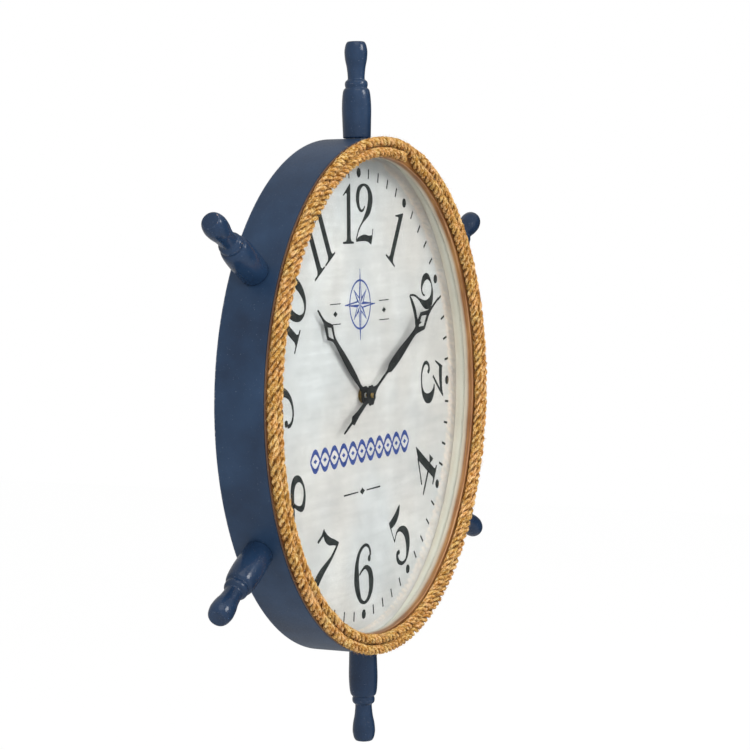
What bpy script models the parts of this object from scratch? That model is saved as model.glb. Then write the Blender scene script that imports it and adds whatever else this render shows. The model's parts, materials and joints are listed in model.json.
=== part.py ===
"""A ship wheel wall clock: a round steel case with six turned handles, a rope trim and a quartz movement.

Metres, +Z up. The wall is the plane y = 0, the clock's axis is the Y axis, and the dial faces -Y. Places
along the axis are written as depths, measured from the wall towards the front, so a depth d lies at y = -d.
Angles on the dial are clock angles: zero at 12 o'clock, growing clockwise as seen from the front.
"""

import math

import bmesh
import bpy
import numpy as np
from mathutils import Matrix

# Shared clearances
GAP = 0.0003
OVERRUN = 0.002
WELD = 0.000001

# Smoothness of the round pieces
RING_SEGMENTS = 72
HANDLE_SEGMENTS = 16
SMALL_SEGMENTS = 16
PIN_SEGMENTS = 8
SMOOTH_ANGLE = math.radians(35)

# Case drum: a steel band, and the flat ring welded inside its back edge, against the wall
DRUM_RADIUS = 0.2587
DRUM_DEPTH = 0.0508
DRUM_WALL = 0.001
BACK_RING_WIDTH = 0.0117
BACK_RING_THICKNESS = 0.001

# Bezel ring: sits inside the drum's front edge and caps it with a thin lip
RING_WIDTH = 0.0179
RING_LIP_THICKNESS = 0.0017
RING_BAND = 0.0098

# Glass, dial board and the hoop between them, with the room that each leaves at its edge
GLASS_THICKNESS = 0.002
GLASS_EDGE_ROOM = 0.0017
DIAL_THICKNESS = 0.003
DIAL_EDGE_ROOM = 0.0042
HOOP_SETBACK = 0.0015
HOOP_WALL = 0.0015
NUT_TO_GLASS = 0.0007

# Rope trim: one rope laid in two turns on the ring's face
ROPE_DIAMETER = 0.0102
ROPE_ROW_GAP = 0.00045
ROPE_OVERHANG = 0.0024
ROPE_POINTS_PER_TURN = 72
ROPE_CLIMB_POINTS = 5
ROPE_SEAM_ANGLE = math.radians(20)
ROPE_CLIMB_ANGLE = math.radians(7)
ROPE_END_ANGLE = math.radians(0.6)

# Handles, as shares of their length from the tip and of their greatest radius
HANDLE_COUNT = 6
HANDLE_LENGTH = 0.0965
HANDLE_RADIUS = 0.0148
HANDLE_FORWARD = 0.0011
HANDLE_PROFILE_SHARES = (
    (0.000, 0.50),
    (0.012, 0.59),
    (0.045, 0.70),
    (0.114, 0.784),
    (0.197, 0.736),
    (0.259, 0.649),
    (0.342, 0.588),
    (0.394, 0.574),
    (0.409, 0.74),
    (0.466, 0.77),
    (0.480, 0.716),
    (0.492, 0.85),
    (0.530, 0.94),
    (0.684, 1.0),
    (0.829, 0.98),
    (1.0, 0.946),
)

# Screws that hold the handles, driven from inside the drum
HANDLE_SCREW_RADIUS = 0.002
HANDLE_SCREW_LENGTH = 0.0325
HANDLE_SCREW_HEAD_RADIUS = 0.0042
HANDLE_SCREW_HEAD = 0.0022

# Angle brackets that carry the dial board, between the handles
BRACKET_COUNT = 6
BRACKET_WIDTH = 0.014
BRACKET_THICKNESS = 0.0012
BRACKET_ABOVE_WALL = 0.0099
BRACKET_DIAL_LEG = 0.017
BRACKET_HOLE_INSET = 0.012
BRACKET_SCREW_RADIUS = 0.0015
BRACKET_SCREW_BITE = 0.0022
BRACKET_SCREW_HEAD_RADIUS = 0.003
BRACKET_SCREW_HEAD = 0.0018

# Hanger plate with its keyhole, held to the back ring at the top by two flush rivets
HANGER_WIDTH = 0.072
HANGER_HEIGHT = 0.039
HANGER_THICKNESS = 0.0015
HANGER_CORNER = 0.006
HANGER_TOP_ROOM = 0.0016
KEYHOLE_RADIUS = 0.005
KEYHOLE_SLOT_WIDTH = 0.0046
KEYHOLE_SLOT_RISE = 0.010
KEYHOLE_ABOVE_EDGE = 0.012
RIVET_INSET = 0.006
RIVET_RADIUS = 0.0015
RIVET_HEAD_RADIUS = 0.003
RIVET_HEAD = 0.0006

# Threaded post of the movement, with what is clamped on it
POST_RADIUS = 0.004
POST_PROUD = 0.0005
POST_BORE_RADIUS = 0.0028
RUBBER_RADIUS = 0.011
RUBBER_THICKNESS = 0.001
WASHER_RADIUS = 0.0078
WASHER_THICKNESS = 0.0008
NUT_ACROSS_FLATS = 0.012
NUT_THICKNESS = 0.002
NUT_SIDES = 6

# Movement housing: the battery sets its width and its bay, and the train sets the rest
MOVEMENT_WALL = 0.0015
BAY_ROOM = 0.0008
PARTITION = 0.0012
TRAIN_BELOW_AXIS = 0.0095
PILLAR_RADIUS = 0.0013
PILLAR_TO_STATOR = 0.002
PILLAR_INSET_LOW = 0.0023
PILLAR_INSET_HIGH = 0.0017

# Battery and its contacts
BATTERY_RADIUS = 0.0071
BATTERY_LENGTH = 0.0489
BATTERY_NUB = 0.0013
BATTERY_NUB_RADIUS = 0.0027
BATTERY_SHOULDER = 0.0008
CONTACT_SIDE = 0.008
CONTACT_THICKNESS = 0.0004
CONTACT_DOME = 0.0008
CONTACT_DOME_RADIUS = 0.0022

# Plates, arbors and wheels of the train
PLATE_THICKNESS = 0.001
PLATE_BESIDE_PILLAR = 0.0017
PLATE_ABOVE_AXIS = 0.014
ARBOR_RADIUS = 0.0004
MINUTE_ARBOR_RADIUS = 0.0006
PIVOT_BITE = 0.0006
WHEEL_THICKNESS = 0.0006
MOTION_WHEEL_THICKNESS = 0.0008
PINION_OVERRUN = 0.0002
HOUR_WHEEL_ROOM = 0.0014
HOUR_TO_CANNON = 0.0004
CANNON_LENGTH = 0.0015
CANNON_TO_CENTRE = 0.0005
CENTRE_TO_PLATE = 0.0006
PLATE_TO_THIRD = 0.0008
WHEEL_STEP = 0.0009
FIFTH_TO_COVER = 0.0018

# Teeth: counts, modules and the tooth's shape as shares of the module and of half a pitch
ROTOR_PINION_TEETH = 6
FIFTH_WHEEL_TEETH = 36
FIFTH_PINION_TEETH = 8
FOURTH_WHEEL_TEETH = 40
FOURTH_PINION_TEETH = 6
THIRD_WHEEL_TEETH = 45
THIRD_PINION_TEETH = 6
CENTRE_WHEEL_TEETH = 48
CANNON_TEETH = 10
MINUTE_WHEEL_TEETH = 30
MINUTE_PINION_TEETH = 8
HOUR_WHEEL_TEETH = 32
FINE_MODULE = 0.00024
THIRD_MODULE = 0.00028
MOTION_MODULE = 0.00035
ADDENDUM_SHARE = 0.8
DEDENDUM_SHARE = 1.0
TOOTH_TIP_SHARE = 0.18
TOOTH_ROOT_SHARE = 0.5

# Directions, as clock angles, from each arbor to the next
MINUTE_DIRECTION = math.radians(90)
THIRD_DIRECTION = math.radians(-60)
FOURTH_DIRECTION = math.radians(10)
FIFTH_DIRECTION = math.radians(80)
ROTOR_DIRECTION = math.radians(110)

# Hour pipe and minute arbor, which carry the hands
HOUR_PIPE_RADIUS = 0.0025
HOUR_PIPE_PROUD = 0.0018
MINUTE_STAFF_RADIUS = 0.0015
MINUTE_STAFF_PROUD = 0.0066
MINUTE_TIP_RADIUS = 0.001
MINUTE_TIP_LENGTH = 0.0022

# Hands
HOUR_HAND_LENGTH = 0.140
HOUR_HAND_THICKNESS = 0.0008
HOUR_HAND_WIDTH = 0.019
HOUR_HUB_RADIUS = 0.0095
HOUR_HAND_ANGLE = math.radians(-49.8)
MINUTE_HAND_LENGTH = 0.200
MINUTE_HAND_TAIL = 0.0725
MINUTE_HAND_THICKNESS = 0.0006
MINUTE_HAND_WIDTH = 0.021
MINUTE_HUB_RADIUS = 0.011
MINUTE_HAND_ANGLE = math.radians(62.4)
HAND_NUT_RADIUS = 0.0028
HAND_NUT_LENGTH = 0.0016
HAND_NUT_END = 0.0004

# Outlines of the hands: share of the hand's length, share of its half width
HOUR_HAND_SHARES = (
    (0.04, 0.45),
    (0.10, 0.25),
    (0.15, 0.30),
    (0.22, 0.41),
    (0.32, 0.46),
    (0.43, 0.44),
    (0.52, 0.38),
    (0.60, 0.30),
    (0.655, 0.31),
    (0.69, 0.50),
    (0.748, 1.0),
    (0.85, 0.30),
    (0.89, 0.16),
    (0.94, 0.13),
    (0.99, 0.11),
    (1.0, 0.05),
)
HOUR_WINDOW_SHARES = ((0.668, 0), (0.748, 0.58), (0.806, 0))
MINUTE_HAND_SHARES = (
    (0.04, 0.51),
    (0.075, 0.25),
    (0.11, 0.16),
    (0.235, 0.16),
    (0.27, 0.50),
    (0.33, 0.55),
    (0.40, 0.56),
    (0.47, 0.49),
    (0.54, 0.38),
    (0.59, 0.33),
    (0.64, 0.33),
    (0.75, 1.0),
    (0.835, 0.31),
    (0.88, 0.16),
    (0.93, 0.12),
    (0.985, 0.10),
    (1.0, 0.05),
)
MINUTE_WINDOW_SHARES = ((0.69, 0), (0.75, 0.58), (0.812, 0))
MINUTE_TAIL_SHARES = (
    (0.12, 0.37),
    (0.20, 0.24),
    (0.32, 0.27),
    (0.45, 0.30),
    (0.56, 0.38),
    (0.67, 0.49),
    (0.715, 0.15),
    (0.85, 0.13),
    (0.97, 0.10),
    (1.0, 0.05),
)

# Rotor, stator, coil, circuit board and crystal
ROTOR_RADIUS = 0.0025
ROTOR_ROOM = 0.0004
ROTOR_LENGTH = 0.0012
STATOR_THICKNESS = 0.0008
STATOR_WIDTH = 0.0148
STATOR_RIM_X = 0.00094
STATOR_RIM_Z = 0.00125
STATOR_BODY_HEIGHT = 0.0075
STATOR_LEG_WIDTH = 0.0030
STATOR_HEIGHT = 0.0161
COIL_RADIUS = 0.0026
COIL_FLANGE_RADIUS = 0.0032
COIL_FLANGE = 0.0008
COIL_BELOW_LEG_END = 0.0020
BOARD_WIDTH = 0.0249
BOARD_HEIGHT = 0.0099
BOARD_THICKNESS = 0.001
BOARD_EDGE_ROOM = 0.0006
BOARD_TO_WHEEL = 0.0007
BOARD_PILLAR_INSET = 0.0045
CRYSTAL_RADIUS = 0.001
CRYSTAL_LENGTH = 0.006
CRYSTAL_INSET = 0.013
BOARD_TO_COVER = 0.0028

# Setting knob on the minute wheel's arbor
KNOB_RADIUS = 0.006
KNOB_LENGTH = 0.0036
KNOB_END = 0.0012
KNOB_RIBS = 12
KNOB_RIB_SHARE = 0.9

# Heights of the pieces stacked on the dial, which set the hoop's length
POST_ABOVE_DIAL = GAP + WASHER_THICKNESS + GAP + NUT_THICKNESS + POST_PROUD
HANDS_ABOVE_POST = MINUTE_STAFF_PROUD + GAP + MINUTE_HAND_THICKNESS + GAP + HAND_NUT_LENGTH
HOOP_LENGTH = POST_ABOVE_DIAL + HANDS_ABOVE_POST + NUT_TO_GLASS - 2 * GAP

# Depths of the stack, from the wall to the front
HANDLE_DEPTH = DRUM_DEPTH / 2 + HANDLE_FORWARD
RING_FACE = DRUM_DEPTH + GAP + RING_LIP_THICKNESS
RING_BACK = RING_FACE - RING_BAND
GLASS_FRONT = RING_BACK - GAP
GLASS_BACK = GLASS_FRONT - GLASS_THICKNESS
HOOP_FRONT = GLASS_BACK - GAP
HOOP_BACK = HOOP_FRONT - HOOP_LENGTH
DIAL_FRONT = HOOP_BACK - GAP
DIAL_BACK = DIAL_FRONT - DIAL_THICKNESS
RUBBER_FRONT = DIAL_BACK - GAP
RUBBER_BACK = RUBBER_FRONT - RUBBER_THICKNESS
HOUSING_FRONT = RUBBER_BACK - GAP
HOUSING_FLOOR = HOUSING_FRONT - MOVEMENT_WALL
WASHER_BACK = DIAL_FRONT + GAP
WASHER_FRONT = WASHER_BACK + WASHER_THICKNESS
NUT_BACK = WASHER_FRONT + GAP
NUT_FRONT = NUT_BACK + NUT_THICKNESS
POST_END = DIAL_FRONT + POST_ABOVE_DIAL
HOUR_HAND_BACK = POST_END + GAP
HOUR_HAND_FRONT = HOUR_HAND_BACK + HOUR_HAND_THICKNESS
HOUR_PIPE_END = POST_END + HOUR_PIPE_PROUD
STAFF_END = POST_END + MINUTE_STAFF_PROUD
STAFF_TIP = STAFF_END + MINUTE_TIP_LENGTH
MINUTE_HAND_BACK = STAFF_END + GAP
MINUTE_HAND_FRONT = MINUTE_HAND_BACK + MINUTE_HAND_THICKNESS
HAND_NUT_BACK = MINUTE_HAND_FRONT + GAP
HAND_NUT_FRONT = HAND_NUT_BACK + HAND_NUT_LENGTH

# Depths inside the movement, from the dial side to the wall
HOUR_WHEEL_FRONT = HOUSING_FLOOR - HOUR_WHEEL_ROOM
HOUR_WHEEL_BACK = HOUR_WHEEL_FRONT - MOTION_WHEEL_THICKNESS
CANNON_FRONT = HOUR_WHEEL_BACK - HOUR_TO_CANNON
CANNON_BACK = CANNON_FRONT - CANNON_LENGTH
MINUTE_WHEEL_FRONT = CANNON_FRONT - HOUR_TO_CANNON
MINUTE_WHEEL_BACK = MINUTE_WHEEL_FRONT - MOTION_WHEEL_THICKNESS
CENTRE_WHEEL_FRONT = CANNON_BACK - CANNON_TO_CENTRE
CENTRE_WHEEL_BACK = CENTRE_WHEEL_FRONT - WHEEL_THICKNESS
PLATE_FRONT = CENTRE_WHEEL_BACK - CENTRE_TO_PLATE
PLATE_BACK = PLATE_FRONT - PLATE_THICKNESS
THIRD_WHEEL_FRONT = PLATE_BACK - PLATE_TO_THIRD
THIRD_WHEEL_BACK = THIRD_WHEEL_FRONT - WHEEL_THICKNESS
FOURTH_WHEEL_FRONT = THIRD_WHEEL_BACK - WHEEL_STEP
FOURTH_WHEEL_BACK = FOURTH_WHEEL_FRONT - WHEEL_THICKNESS
FIFTH_WHEEL_FRONT = FOURTH_WHEEL_BACK - WHEEL_STEP
FIFTH_WHEEL_BACK = FIFTH_WHEEL_FRONT - WHEEL_THICKNESS
COVER_FRONT = FIFTH_WHEEL_BACK - FIFTH_TO_COVER
COVER_REAR = COVER_FRONT - MOVEMENT_WALL
HOUSING_REAR = COVER_REAR
PIVOT_REAR = COVER_FRONT - PIVOT_BITE
PIVOT_FRONT = PLATE_BACK + PIVOT_BITE
STATOR_FRONT = PLATE_BACK - GAP
STATOR_BACK = STATOR_FRONT - STATOR_THICKNESS
ROTOR_FRONT = PLATE_BACK - ROTOR_ROOM
ROTOR_BACK = ROTOR_FRONT - ROTOR_LENGTH
KNOB_FRONT = HOUSING_REAR - GAP
KNOB_REAR = KNOB_FRONT - KNOB_LENGTH

# Radii and heights that follow from the sizes above
DRUM_INNER_RADIUS = DRUM_RADIUS - DRUM_WALL
BACK_RING_OUTER_RADIUS = DRUM_INNER_RADIUS - GAP
BACK_RING_INNER_RADIUS = BACK_RING_OUTER_RADIUS - BACK_RING_WIDTH
RING_OUTER_RADIUS = DRUM_INNER_RADIUS - GAP
RING_INNER_RADIUS = RING_OUTER_RADIUS - RING_WIDTH
GLASS_RADIUS = DRUM_INNER_RADIUS - GLASS_EDGE_ROOM
DIAL_RADIUS = DRUM_INNER_RADIUS - DIAL_EDGE_ROOM
HOOP_OUTER_RADIUS = DIAL_RADIUS - HOOP_SETBACK
HOOP_INNER_RADIUS = HOOP_OUTER_RADIUS - HOOP_WALL
ROPE_PITCH = ROPE_DIAMETER + ROPE_ROW_GAP
ROPE_OUTER_ROW = DRUM_RADIUS + ROPE_OVERHANG - ROPE_DIAMETER / 2
ROPE_DEPTH = RING_FACE + GAP + ROPE_DIAMETER / 2
HANDLE_FOOT = DRUM_RADIUS + GAP
HANDLE_TIP_RADIUS = HANDLE_FOOT + HANDLE_LENGTH
POST_HOLE_RADIUS = POST_RADIUS + GAP
CAVITY_HALF = (BATTERY_LENGTH + BATTERY_NUB + CONTACT_DOME + 2 * CONTACT_THICKNESS + 4 * GAP) / 2
TRAIN_BOTTOM = -TRAIN_BELOW_AXIS
BAY_TOP = TRAIN_BOTTOM - PARTITION
BAY_BOTTOM = BAY_TOP - 2 * (BATTERY_RADIUS + BAY_ROOM)
COVER_HALF = CAVITY_HALF - GAP
COVER_BOTTOM = TRAIN_BOTTOM + GAP
PLATE_BOTTOM = TRAIN_BOTTOM + 2 * GAP
PILLAR_LOW = TRAIN_BOTTOM + PILLAR_INSET_LOW
PILLAR_HIGH = PLATE_ABOVE_AXIS - PILLAR_INSET_HIGH
BATTERY_Z = (BAY_BOTTOM + BAY_TOP) / 2
BATTERY_DEPTH = HOUSING_FLOOR - GAP - BATTERY_RADIUS
HANGER_TOP = math.sqrt((DRUM_INNER_RADIUS - HANGER_TOP_ROOM) ** 2 - (HANGER_WIDTH / 2 - HANGER_CORNER) ** 2)
HANGER_BOTTOM = HANGER_TOP - HANGER_HEIGHT
HANGER_BACK = BACK_RING_THICKNESS + GAP
HANGER_FRONT = HANGER_BACK + HANGER_THICKNESS
RIVET_HEAD_BACK = HANGER_FRONT - RIVET_HEAD
KEYHOLE_Z = HANGER_BOTTOM + KEYHOLE_ABOVE_EDGE
RIVET_CIRCLE = (BACK_RING_INNER_RADIUS + BACK_RING_OUTER_RADIUS) / 2
RIVET_SPREAD = HANGER_WIDTH / 2 - RIVET_INSET
RIVET_Z = math.sqrt(RIVET_CIRCLE ** 2 - RIVET_SPREAD ** 2)


def along(angle, distance):
    """The (x, z) offset at a clock angle and a distance."""
    return distance * math.sin(angle), distance * math.cos(angle)


def next_arbor(start, direction, module, teeth, pinion_teeth):
    """The (x, z) place of the arbor whose pinion or wheel meshes with the one at start."""
    step = along(direction, module * (teeth + pinion_teeth) / 2)
    return start[0] + step[0], start[1] + step[1]


def tip_radius(teeth, module):
    return (teeth / 2 + ADDENDUM_SHARE) * module


CENTRE = (0.0, 0.0)
MINUTE_AXIS = next_arbor(CENTRE, MINUTE_DIRECTION, MOTION_MODULE, CANNON_TEETH, MINUTE_WHEEL_TEETH)
THIRD_AXIS = next_arbor(CENTRE, THIRD_DIRECTION, FINE_MODULE, CENTRE_WHEEL_TEETH, THIRD_PINION_TEETH)
FOURTH_AXIS = next_arbor(THIRD_AXIS, FOURTH_DIRECTION, THIRD_MODULE, THIRD_WHEEL_TEETH, FOURTH_PINION_TEETH)
FIFTH_AXIS = next_arbor(FOURTH_AXIS, FIFTH_DIRECTION, FINE_MODULE, FOURTH_WHEEL_TEETH, FIFTH_PINION_TEETH)
ROTOR_AXIS = next_arbor(FIFTH_AXIS, ROTOR_DIRECTION, FINE_MODULE, FIFTH_WHEEL_TEETH, ROTOR_PINION_TEETH)
GOING_AXES = (THIRD_AXIS, FOURTH_AXIS, FIFTH_AXIS, ROTOR_AXIS)

# The circuit board lies above the fourth wheel, and the pillars stand beside the stator
BOARD_BACK = COVER_FRONT + BOARD_TO_COVER
BOARD_FRONT = BOARD_BACK + BOARD_THICKNESS
BOARD_LEFT = -CAVITY_HALF + BOARD_EDGE_ROOM
BOARD_RIGHT = BOARD_LEFT + BOARD_WIDTH
BOARD_BOTTOM = FOURTH_AXIS[1] + tip_radius(FOURTH_WHEEL_TEETH, FINE_MODULE) + BOARD_TO_WHEEL
BOARD_TOP = BOARD_BOTTOM + BOARD_HEIGHT
BOARD_MIDDLE = (BOARD_TOP + BOARD_BOTTOM) / 2
BOARD_PILLARS = (
    (BOARD_LEFT + BOARD_PILLAR_INSET, BOARD_MIDDLE),
    (BOARD_RIGHT - BOARD_PILLAR_INSET, BOARD_MIDDLE),
)
CAVITY_TOP = BOARD_TOP + BOARD_EDGE_ROOM
STATOR_LEFT = ROTOR_AXIS[0] - ROTOR_RADIUS - ROTOR_ROOM - STATOR_RIM_X
STATOR_RIGHT = STATOR_LEFT + STATOR_WIDTH
STATOR_BOTTOM = ROTOR_AXIS[1] - ROTOR_RADIUS - ROTOR_ROOM - STATOR_RIM_Z
PILLAR_X = STATOR_RIGHT + PILLAR_TO_STATOR + PILLAR_RADIUS
PILLARS = ((-PILLAR_X, PILLAR_LOW), (PILLAR_X, PILLAR_LOW), (-PILLAR_X, PILLAR_HIGH), (PILLAR_X, PILLAR_HIGH))


def clear_scene():
    for obj in list(bpy.data.objects):
        bpy.data.objects.remove(obj, do_unlink=True)


def linear(channel):
    """An sRGB channel from 0 to 1, turned linear."""
    return channel / 12.92 if channel <= 0.04045 else ((channel + 0.055) / 1.055) ** 2.4


def finish(name, colour, roughness, metallic=0.0):
    """A Principled material of an sRGB hex colour."""
    material = bpy.data.materials.new(name)
    material.use_nodes = True
    shader = material.node_tree.nodes["Principled BSDF"]
    channels = [linear(int(colour[i:i + 2], 16) / 255) for i in (0, 2, 4)]
    shader.inputs["Base Color"].default_value = (*channels, 1.0)
    shader.inputs["Roughness"].default_value = roughness
    shader.inputs["Metallic"].default_value = metallic
    return material


def bearing(angle=0.0, depth=0.0):
    """A matrix that turns a piece drawn at 12 o'clock to a clock angle and moves it out from the wall."""
    return Matrix.Translation((0.0, -depth, 0.0)) @ Matrix.Rotation(angle, 4, "Y")


def add(name, mesh_builder, material, place=(0.0, 0.0), angle=0.0, depth=0.0):
    """An object from a bmesh, shaded smooth, with its origin on the axis through place."""
    bmesh.ops.recalc_face_normals(mesh_builder, faces=mesh_builder.faces)
    mesh = bpy.data.meshes.new(name)
    mesh_builder.to_mesh(mesh)
    mesh_builder.free()
    mesh.shade_smooth()
    mesh.set_sharp_from_angle(angle=SMOOTH_ANGLE)
    if material is not None:
        mesh.materials.append(material)
    obj = bpy.data.objects.new(name, mesh)
    bpy.context.scene.collection.objects.link(obj)
    obj.location = (place[0], -depth, place[1])
    obj.rotation_euler = (0.0, angle, 0.0)
    return obj


def helper(name, mesh_builder, place=(0.0, 0.0), angle=0.0):
    """A shape that only cuts or joins others."""
    obj = add(name, mesh_builder, None, place, angle)
    obj.hide_render = True
    obj.display_type = "WIRE"
    return obj


def combine(obj, other, operation):
    modifier = obj.modifiers.new(other.name, "BOOLEAN")
    modifier.operation = operation
    modifier.object = other


def cut(obj, mesh_builder, place=(0.0, 0.0), angle=0.0):
    combine(obj, helper(f"{obj.name}_cutter", mesh_builder, place, angle), "DIFFERENCE")


def join(obj, mesh_builder, place=(0.0, 0.0), angle=0.0):
    combine(obj, helper(f"{obj.name}_piece", mesh_builder, place, angle), "UNION")


def turned(profile, segments, closed=True, axis="Y"):
    """A profile of (radius, distance) points turned about an axis. Along Y the distance is a depth."""
    built = bmesh.new()
    spots = {
        "X": [(distance, 0.0, radius) for radius, distance in profile],
        "Y": [(0.0, -distance, radius) for radius, distance in profile],
        "Z": [(radius, 0.0, distance) for radius, distance in profile],
    }[axis]
    points = [built.verts.new(spot) for spot in spots]
    edges = [built.edges.new(pair) for pair in zip(points, points[1:])]
    if closed:
        edges.append(built.edges.new((points[-1], points[0])))
    turn = {"X": (1, 0, 0), "Y": (0, 1, 0), "Z": (0, 0, 1)}[axis]
    circle = {"cent": (0, 0, 0), "axis": turn, "angle": 2 * math.pi}
    bmesh.ops.spin(built, geom=points + edges, steps=segments, use_merge=True, **circle)
    bmesh.ops.remove_doubles(built, verts=built.verts, dist=WELD)
    return built


def tube(inner, outer, back, front, segments):
    """A ring of rectangular section."""
    return turned([(inner, back), (outer, back), (outer, front), (inner, front)], segments)


def rod(radius, back, front, segments=PIN_SEGMENTS, axis="Y"):
    """A plain cylinder between two depths."""
    return turned([(0.0, back), (radius, back), (radius, front), (0.0, front)], segments, False, axis)


def prism(outline, back, front):
    """An outline of (x, z) points extruded between two depths."""
    built = bmesh.new()
    face = built.faces.new([built.verts.new((x, -back, z)) for x, z in outline])
    pushed = bmesh.ops.extrude_face_region(built, geom=[face])["geom"]
    moved = [item for item in pushed if isinstance(item, bmesh.types.BMVert)]
    bmesh.ops.translate(built, verts=moved, vec=(0.0, back - front, 0.0))
    return built


def block(left, right, bottom, top, back, front):
    return prism([(left, bottom), (right, bottom), (right, top), (left, top)], back, front)


def turned_to(built, angle):
    """The same shape, turned about the clock's axis."""
    bmesh.ops.transform(built, matrix=bearing(angle), verts=built.verts)
    return built


def toothed(teeth, module, phase):
    """The outline of a gear whose first tooth is centred on the clock angle phase."""
    tip = tip_radius(teeth, module)
    root = (teeth / 2 - DEDENDUM_SHARE) * module
    half_pitch = math.pi / teeth
    corners = (
        (root, -TOOTH_ROOT_SHARE),
        (tip, -TOOTH_TIP_SHARE),
        (tip, TOOTH_TIP_SHARE),
        (root, TOOTH_ROOT_SHARE),
    )
    outline = []
    for tooth in range(teeth):
        middle = phase + 2 * tooth * half_pitch
        outline += [along(middle + share * half_pitch, radius) for radius, share in corners]
    return outline


def facing_gap(direction, teeth):
    """The phase that puts a gap between teeth towards the arbor the gear is driven from."""
    return direction + math.pi + math.pi / teeth


def handle_angles():
    return [2 * math.pi * i / HANDLE_COUNT for i in range(HANDLE_COUNT)]


def bracket_angles():
    return [2 * math.pi * (i + 0.5) / BRACKET_COUNT for i in range(BRACKET_COUNT)]


def make_case(paint, stain):
    half_segment = math.pi / RING_SEGMENTS
    band = tube(DRUM_INNER_RADIUS, DRUM_RADIUS, 0.0, DRUM_DEPTH, RING_SEGMENTS)
    drum = add("case_drum", band, paint, angle=half_segment)
    screw_hole = HANDLE_SCREW_RADIUS + GAP
    for angle in handle_angles():
        hole = rod(screw_hole, DRUM_INNER_RADIUS - OVERRUN, DRUM_RADIUS + OVERRUN, axis="Z")
        bmesh.ops.translate(hole, verts=hole.verts, vec=(0.0, -HANDLE_DEPTH, 0.0))
        cut(drum, hole, angle=angle)
    flat = tube(BACK_RING_INNER_RADIUS, BACK_RING_OUTER_RADIUS, 0.0, BACK_RING_THICKNESS, RING_SEGMENTS)
    back_ring = add("back_ring", flat, paint, angle=half_segment)
    for side in (-1, 1):
        hole = rod(RIVET_RADIUS + GAP, -OVERRUN, BACK_RING_THICKNESS + OVERRUN)
        cut(back_ring, hole, (side * RIVET_SPREAD, RIVET_Z))
    add(
        "bezel_ring",
        turned(
            [
                (RING_INNER_RADIUS, RING_BACK),
                (RING_OUTER_RADIUS, RING_BACK),
                (RING_OUTER_RADIUS, DRUM_DEPTH + GAP),
                (DRUM_RADIUS, DRUM_DEPTH + GAP),
                (DRUM_RADIUS, RING_FACE),
                (RING_INNER_RADIUS, RING_FACE),
            ],
            RING_SEGMENTS,
        ),
        stain,
    )


def rope_points():
    """The rope's centre line: round the outer row, a short climb inwards, then round the inner row."""
    first_turn = 2 * math.pi - ROPE_END_ANGLE
    climb_start = first_turn - ROPE_CLIMB_ANGLE
    whole = 2 * first_turn - ROPE_CLIMB_ANGLE - 2 * ROPE_END_ANGLE
    step = 2 * math.pi / ROPE_POINTS_PER_TURN
    even = np.arange(0.0, whole, step)
    even = even[(even < climb_start) | (even > first_turn)]
    climbing = np.linspace(climb_start, first_turn, ROPE_CLIMB_POINTS)
    turned_by = np.sort(np.concatenate([even, climbing, [whole]]))
    done = np.clip((turned_by - climb_start) / ROPE_CLIMB_ANGLE, 0.0, 1.0)
    radius = ROPE_OUTER_ROW - ROPE_PITCH * done * done * (3 - 2 * done)
    angle = ROPE_SEAM_ANGLE + turned_by
    depth = np.full_like(angle, ROPE_DEPTH)
    return np.stack([radius * np.sin(angle), -depth, radius * np.cos(angle)], axis=1)


def least_rope_gap(points):
    """The least space between two stretches of the rope that aren't next to each other along it."""
    steps = np.linalg.norm(np.diff(points, axis=0), axis=1)
    run = np.concatenate([[0.0], np.cumsum(steps)])
    fine_run = np.linspace(0.0, run[-1], 20 * len(points))
    fine = np.stack([np.interp(fine_run, run, points[:, i]) for i in range(3)], axis=1)
    least = math.inf
    for i in range(0, len(fine), 3):
        apart = np.abs(fine_run - fine_run[i]) > 4 * ROPE_DIAMETER
        least = min(least, np.linalg.norm(fine[apart] - fine[i], axis=1).min())
    return least - ROPE_DIAMETER, run[-1]


def make_rope(jute):
    points = rope_points()
    curve = bpy.data.curves.new("rope_trim", "CURVE")
    curve.dimensions = "3D"
    curve.bevel_depth = ROPE_DIAMETER / 2
    curve.bevel_resolution = 1
    curve.use_fill_caps = True
    spline = curve.splines.new("POLY")
    spline.points.add(len(points) - 1)
    for spot, point in zip(spline.points, points):
        spot.co = (*point, 1.0)
    curve.materials.append(jute)
    rope = bpy.data.objects.new("rope_trim", curve)
    bpy.context.scene.collection.objects.link(rope)
    gap, length = least_rope_gap(points)
    print(f"rope: {length:.3f} m long, least gap to itself {gap * 1000:.2f} mm")


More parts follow.
